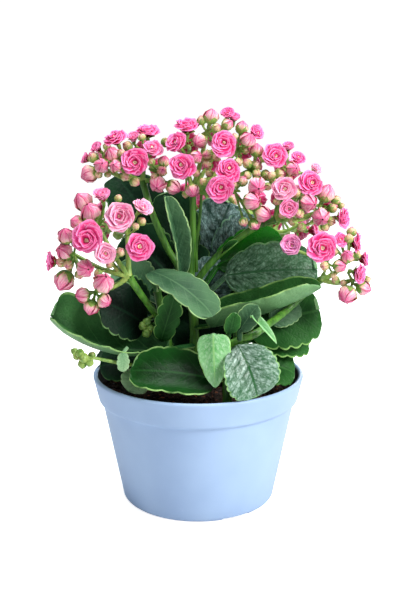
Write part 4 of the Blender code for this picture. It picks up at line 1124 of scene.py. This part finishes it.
def leaf_depth(width, along, across):
    """How thick the leaf is: stout in its stalk, thin at its margin, ribbed below."""
    if along < STALK_SHARE:
        return min(STALK_DEPTH, width * STALK_DEPTH_SHARE) * math.sqrt(1 - .85 * across * across)
    u = (along - STALK_SHARE) / (1 - STALK_SHARE)
    body = EDGE_DEPTH + (LEAF_DEPTH - EDGE_DEPTH) * math.sqrt(1 - across * across)
    body *= clamp(width / FULL_BLADE, .5, 1)
    stalk = min(STALK_DEPTH, width * STALK_DEPTH_SHARE)
    rib = (stalk - body) * (1 - ease(u, 0, .7)) * (1 - ease(abs(across), 0, .3))
    return (body + rib) * (1 - .4 * ease(u, .8, 1))


def make_leaf(name, plan):
    """One leaf with its stalk: the plan's blade, scalloped, wavy and quilted."""
    start, foot, tip, width, upward, fold, bow = plan
    look = LEAF_LOOKS.get(name, PLAIN_LOOK)
    shaped = (place(start), place(foot), place(tip), width * MM, Vector(upward), fold, bow * MM,
              LEAF_PEAKS.get(name, LEAF_PEAK), BLUNTNESS.get(name, PLAIN_BLUNTNESS))
    phase = RANDOM.uniform(0, 2)
    bm = grid_shape(LEAF_ALONG, LEAF_ACROSS)
    known = {}
    for vert in bm.verts:
        along, across = vert.co.x + .5, vert.co.y * 2
        key = (round(along, 5), round(across, 5))
        if key not in known:
            back, ahead = max(along - SLOPE_STEP, 0), min(along + SLOPE_STEP, 1)
            left, right = max(across - SLOPE_STEP * 4, -1), min(across + SLOPE_STEP * 4, 1)
            lengthwise = (leaf_surface(shaped, look, phase, ahead, across * .97)
                          - leaf_surface(shaped, look, phase, back, across * .97))
            sideways = (leaf_surface(shaped, look, phase, along, right)
                        - leaf_surface(shaped, look, phase, along, left))
            normal = sideways.cross(lengthwise)
            known[key] = (leaf_surface(shaped, look, phase, along, across), normal.normalized())
        point, normal = known[key]
        vert.co = point + normal * vert.co.z * leaf_depth(width * MM, along, across) / 2
    bmesh.ops.remove_doubles(bm, verts=bm.verts[:], dist=2e-6)
    nodes = [name] if name in LEAVES else []
    finish_mesh(name + "_blade", bm, [FINISHES[look[0]], FINISHES["leaf_under"]], nodes,
                sharp=80)


# ---------------------------------------------------------------- flowers
# Layers of a flower, outermost first: petals, reach over the radius, angle from the flower's axis
# at a petal's foot and at its tip, width over length, and how far its foot is raised.
LAYERS = [
    (6, 1.00, 14, 108, .90, 0),
    (5, .80, 10, 98, .94, .07),
    (5, .56, 6, 86, .96, .16),
    (4, .36, 2, 64, 1.05, .24),
]
# How far a petal leans over towards one side, so that each laps the next.
PETAL_LEAN = .30
PETAL_DEPTH = .28 * MM
# The share of its length by which a petal's sides are shorter than its middle.
PETAL_ROUNDING = .26
# The share of its length where a petal is widest, and how wide its foot is beside that.
PETAL_SHOULDER = .66
PETAL_FOOT = .32
# Each layer of petals is turned by this much from the one outside it.
LAYER_TURN = math.pi / 5
# How far a flower's layers drift off its axis, over its radius.
LAYER_DRIFT = .045
# The share of its full opening that a flower of openness 0 has.
CLOSED = .34
# Where the petals start behind the flower's centre, over its radius.
FLOWER_BACK = .45
HEART_PETALS = 4
# Buds up to the first diameter are green and from the second fully pink, in millimetres.
RIPENING = (4.0, 9.0)
SEPALS = 4
# Radius of the stalks of flowers and buds, and of a flower's stalk where it meets the flower.
FLOWER_STALK = .82 * MM
FLOWER_STALK_END = 1.3 * MM
BUD_STALK = .78 * MM


def petal_bend(base, axis, out, length, width, angles, cup, ruffle):
    """A function that bends the petal shape into one petal."""
    side = axis.cross(out)
    first, last = (math.radians(angle) for angle in angles)
    swing = last - first
    phase = RANDOM.uniform(0, math.tau)

    def bend(co):
        across = co.y * 2
        a = (co.x + .5) * (1 - PETAL_ROUNDING * across * across)
        angle = first + swing * a
        along_out = length * (math.cos(first) - math.cos(angle)) / swing
        along_axis = length * (math.sin(angle) - math.sin(first)) / swing
        normal = axis * math.sin(angle) - out * math.cos(angle)
        rising = math.sin(min(a / PETAL_SHOULDER, 1) * math.pi / 2)
        swell = PETAL_FOOT + (1 - PETAL_FOOT) * rising
        if a > PETAL_SHOULDER:
            swell *= math.sqrt(1 - .62 * ((a - PETAL_SHOULDER) / (1 - PETAL_SHOULDER)) ** 2)
        half = width / 2 * swell
        rise = cup * half * across * across + PETAL_LEAN * half * across * a
        rise += ruffle * length * a * a * math.sin(4 * across + phase)
        return (base + out * along_out + axis * along_axis + side * half * across
                + normal * (rise + co.z * PETAL_DEPTH / 2))
    return bend


def add_flower(petals, greens, plan, root):
    """An open or half-open double flower, its sepals and its stalk from a branch point."""
    x, y, z, diameter, turn, tilt, openness, tone = plan
    centre, axis = place((x, y, z)), facing(turn, tilt)
    radius = diameter * MM / 2
    first, second = across_frame(axis)
    base = centre - axis * radius * FLOWER_BACK
    spin = RANDOM.uniform(0, math.tau)
    closing = CLOSED + (1 - CLOSED) * openness
    drift = Vector((0, 0, 0))
    for level, (count, reach, foot_angle, tip_angle, broad, raised) in enumerate(LAYERS):
        swing = math.radians(tip_angle - foot_angle)
        fall = math.cos(math.radians(foot_angle)) - math.cos(math.radians(tip_angle))
        per_length = fall / swing
        length = radius * reach / per_length
        inner = level / (len(LAYERS) - 1)
        stray = first * RANDOM.gauss(0, LAYER_DRIFT) + second * RANDOM.gauss(0, LAYER_DRIFT)
        drift += stray * radius
        for petal in range(count):
            at = spin + level * LAYER_TURN + math.tau * (petal + RANDOM.uniform(-.17, .17)) / count
            out = around(first, second, at)
            vary = RANDOM.uniform(.88, 1.05)
            angles = (foot_angle * closing, tip_angle * closing * RANDOM.uniform(.86, 1.06))
            bend = petal_bend(base + drift + axis * raised * radius, axis, out, length * vary,
                              length * broad * RANDOM.uniform(.92, 1.12), angles,
                              .20 + .34 * inner, .05)
            stamp(petals, PETAL_SHAPE, bend, clamp(tone + RANDOM.uniform(-.06, .06)), inner * .8)
    for petal in range(HEART_PETALS):
        at = spin + math.tau * (petal + RANDOM.uniform(-.3, .3)) / HEART_PETALS
        out = around(first, second, at)
        bend = petal_bend(base + drift + axis * radius * .42, axis, out,
                          radius * RANDOM.uniform(.20, .34), radius * .22,
                          (4, RANDOM.uniform(20, 90)), .5, .02)
        stamp(petals, BUD_PETAL_SHAPE, bend, tone, 1.0)
    for sepal in range(SEPALS):
        at = spin + math.tau * (sepal + .5) / SEPALS
        out = around(first, second, at)
        bend = petal_bend(base - axis * radius * .16, axis, out, radius * .72, radius * .34,
                          (30, 82 * closing), .4, .02)
        stamp(greens, BUD_PETAL_SHAPE, bend)
    add_pedicel(greens, root, base - axis * radius * .1, axis, FLOWER_STALK, FLOWER_STALK_END)


def add_pedicel(greens, root, end, axis, radius, flare):
    """A thin stalk from a branch point to a flower or bud, meeting it along its axis."""
    reach = min((end - root).length * .45, 5 * MM)
    points = [root, root.lerp(end - axis * reach, .55), end - axis * reach * .7, end]
    stamp_tube(greens, PEDICEL_SHAPE, points,
               lambda share: radius + (flare - radius) * ease(share, .7, 1))


def add_bud(buds, greens, plan, root):
    """A bud: petals wrapped round each other on an egg shape, with sepals hugging its foot."""
    x, y, z, diameter = plan
    centre = place((x, y, z))
    axis = (centre - root).normalized()
    stray = Vector([RANDOM.gauss(0, .08) for _ in range(3)])
    axis = (axis + Vector((0, 0, .25)) + stray).normalized()
    width = diameter * MM * .96
    length = diameter * MM * RANDOM.uniform(1.15, 1.3)
    first, second = across_frame(axis)
    ripe = ease(diameter, *RIPENING)
    spin = RANDOM.uniform(0, math.tau)
    twist = RANDOM.uniform(.5, .9) * ripe

    def egg(share, turn, outward):
        """A point on the egg: share runs from its foot to its tip."""
        ring = math.sin(math.pi * clamp(share)) ** .56 * (1.06 - .14 * share)
        return (centre + axis * length * (share - .5)
                + around(first, second, turn) * width / 2 * ring * (1 + outward / (width / 2)))

    count = 5 if ripe > .25 else 4
    for petal in range(count):
        middle = spin + math.tau * petal / count
        span = math.tau / count * .74

        def bend(co, middle=middle, span=span):
            across = co.y * 2
            share = .02 + .97 * (co.x + .5)
            turn = middle + span * across * (1 - .25 * share) + twist * share
            lap = (.09 * across + .05) * width * ease(share, .1, .5)
            lap *= 1 - .7 * ease(share, .85, 1)
            return egg(share, turn, lap + co.z * .12 * MM)
        stamp(buds, BUD_PETAL_SHAPE, bend, ripe)
    sepal_reach = RANDOM.uniform(.40, .56) if ripe > .5 else .66
    for sepal in range(SEPALS):
        middle = spin + math.tau * (sepal + .5) / SEPALS

        def hug(co, middle=middle):
            across = co.y * 2
            share = sepal_reach * (co.x + .5)
            span = math.tau / 8 * 1.1 * (1 - ease(co.x + .5, .35, 1.15))
            return egg(share, middle + span * across, .35 * MM + co.z * .16 * MM)
        stamp(greens, BUD_PETAL_SHAPE, hug)
    thin = clamp(diameter / 9, .45, 1)
    add_pedicel(greens, root, centre - axis * length * .46, axis, BUD_STALK * (.6 + .4 * thin),
                width * .17)


def nearest(points, spot):
    return min(points, key=lambda point: (point - spot).length)


def add_bract(greens, spot, direction, length):
    """A small pointed leaf at a fork."""
    helper, _ = across_frame(direction)
    bend = petal_bend(spot, direction, helper, length, length * .32, (15, 55), .3, .02)
    stamp(greens, BUD_PETAL_SHAPE, bend)


def make_head(name, plan):
    """A flower head: petals, buds, and the green of its branches, stalks, sepals and bracts."""
    hub = place(plan["hub"])
    branches = [place(point) for point in plan["branches"]]
    petals, buds, greens = bmesh.new(), bmesh.new(), bmesh.new()
    for branch in branches:
        bow = hub.lerp(branch, .5) + Vector((0, 0, -2 * MM))
        stamp_tube(greens, PEDICEL_SHAPE, [hub, bow, branch],
                   lambda share: 1.55 * MM - .45 * MM * share)
        add_bract(greens, branch, (branch - hub + Vector((0, 0, 4 * MM))).normalized(), 5 * MM)
    for flower in plan["flowers"] + REAR_FLOWERS.get(name, []):
        add_flower(petals, greens, flower, nearest(branches, place(flower[:3])))
    for bud in plan["buds"]:
        add_bud(buds, greens, bud, nearest(branches, place(bud[:3])))
    finish_mesh(name + "_petals", petals, [FINISHES["petal"]] * 2, [name], sharp=60)
    finish_mesh(name + "_buds", buds, [FINISHES["bud"]] * 2, sharp=60)
    finish_mesh(name + "_greens", greens, [FINISHES["sepal"]] * 2, sharp=60)


def make_cluster(name, plan):
    """A spray of small green buds on a thin stem."""
    path = [place(point) for point in plan["stem"]]
    greens, buds = bmesh.new(), bmesh.new()
    stamp_tube(greens, STEM_SHAPE, path, lambda share: 1.15 * MM - .25 * MM * share)
    for bud in plan["buds"]:
        add_bud(buds, greens, bud, path[-1])
    finish_mesh(name + "_buds", buds, [FINISHES["sepal"]] * 2, [name], sharp=60)
    finish_mesh(name + "_greens", greens, [FINISHES["sepal"]] * 2, sharp=60)


# ---------------------------------------------------------------- stage, light and camera
# The floor and the surroundings look brighter to the camera than the light that they give.
FLOOR_GLOW = .78
SKY_LIGHT = .30
SKY_GLOW = .74
# Lights: place, point looked at, size, power in watts, colour.
LIGHTS = {
    "key": ((.52, -.36, .50), (0, 0, .12), .28, 6.6, (1, .99, .97)),
    "top": ((-.05, .02, .80), (0, 0, .1), .40, 4.6, (.95, .98, 1)),
    "fill": ((-.6, -.5, .3), (0, 0, .1), .5, .8, (.95, .98, 1)),
    "rear": ((.25, .75, .45), (0, 0, .12), .5, 3.6, (.98, .99, 1)),
}
CAMERA_PLACE = (.0013, -.5503, .2433)
CAMERA_TILT = 76.9
LENS = 59.9
SENSOR = 36


def make_floor():
    """A plain white floor, lit as evenly as a sweep of paper."""
    bm = bmesh.new()
    bmesh.ops.create_grid(bm, x_segments=1, y_segments=1, size=3)
    mesh = bpy.data.meshes.new("floor")
    bm.to_mesh(mesh)
    bm.free()
    made, tree, shader = new_material("floor_pale", roughness=.9, Specular_IOR_Level=0)
    shader.inputs["Base Color"].default_value = (.85, .85, .86, 1)
    shader.inputs["Emission Color"].default_value = (1, 1, 1, 1)
    seen = add_node(tree, "ShaderNodeLightPath").outputs["Is Camera Ray"]
    tree.links.new(times(tree, seen, FLOOR_GLOW), shader.inputs["Emission Strength"])
    mesh.materials.append(made)
    floor = link_object("floor", mesh)


def add_light(name, spot, target, size, power, colour):
    """A soft square light that looks at a point."""
    data = bpy.data.lights.new(name, "AREA")
    data.size = size
    data.energy = power
    data.color = colour
    light = link_object(name, data)
    light.location = spot
    light.rotation_euler = (Vector(target) - Vector(spot)).to_track_quat("-Z", "Y").to_euler()


def make_studio():
    """White surroundings, a warm key light from the right and cool ones above, left and behind."""
    world = bpy.data.worlds.new("studio")
    world.use_nodes = True
    tree = world.node_tree
    sky = tree.nodes["Background"]
    sky.inputs["Color"].default_value = (1, 1, 1, 1)
    seen = add_node(tree, "ShaderNodeLightPath").outputs["Is Camera Ray"]
    tree.links.new(plus(tree, times(tree, seen, SKY_GLOW), SKY_LIGHT), sky.inputs["Strength"])
    bpy.context.scene.world = world
    for name, light in LIGHTS.items():
        add_light(name, *light)


def make_camera():
    """The main camera, a little above the plant and looking slightly down."""
    data = bpy.data.cameras.new("camera")
    data.lens = LENS
    data.sensor_width = SENSOR
    camera = link_object("camera", data)
    camera.location = CAMERA_PLACE
    camera.rotation_euler = (math.radians(CAMERA_TILT), 0, 0)
    bpy.context.scene.camera = camera


# ---------------------------------------------------------------- build
make_camera()
make_studio()
make_floor()
bpy.context.scene.view_settings.view_transform = "Standard"
make_pot()
make_soil()
for shoot_name, (shoot_points, shoot_diameter) in SHOOTS.items():
    make_stem(shoot_name, shoot_points, shoot_diameter)
for stalk_name, stalk_points in STALKS.items():
    make_stem(stalk_name, stalk_points, STALK_DIAMETER)
for leaf_name, leaf_plan in {**LEAVES, **BRACTS}.items():
    make_leaf(leaf_name, leaf_plan)
make_stem("stalk_thin", THIN_STALK, THIN_STALK_DIAMETER)
for head_name, head_plan in HEADS.items():
    make_head(head_name, head_plan)
for cluster_name, cluster_plan in CLUSTERS.items():
    make_cluster(cluster_name, cluster_plan)
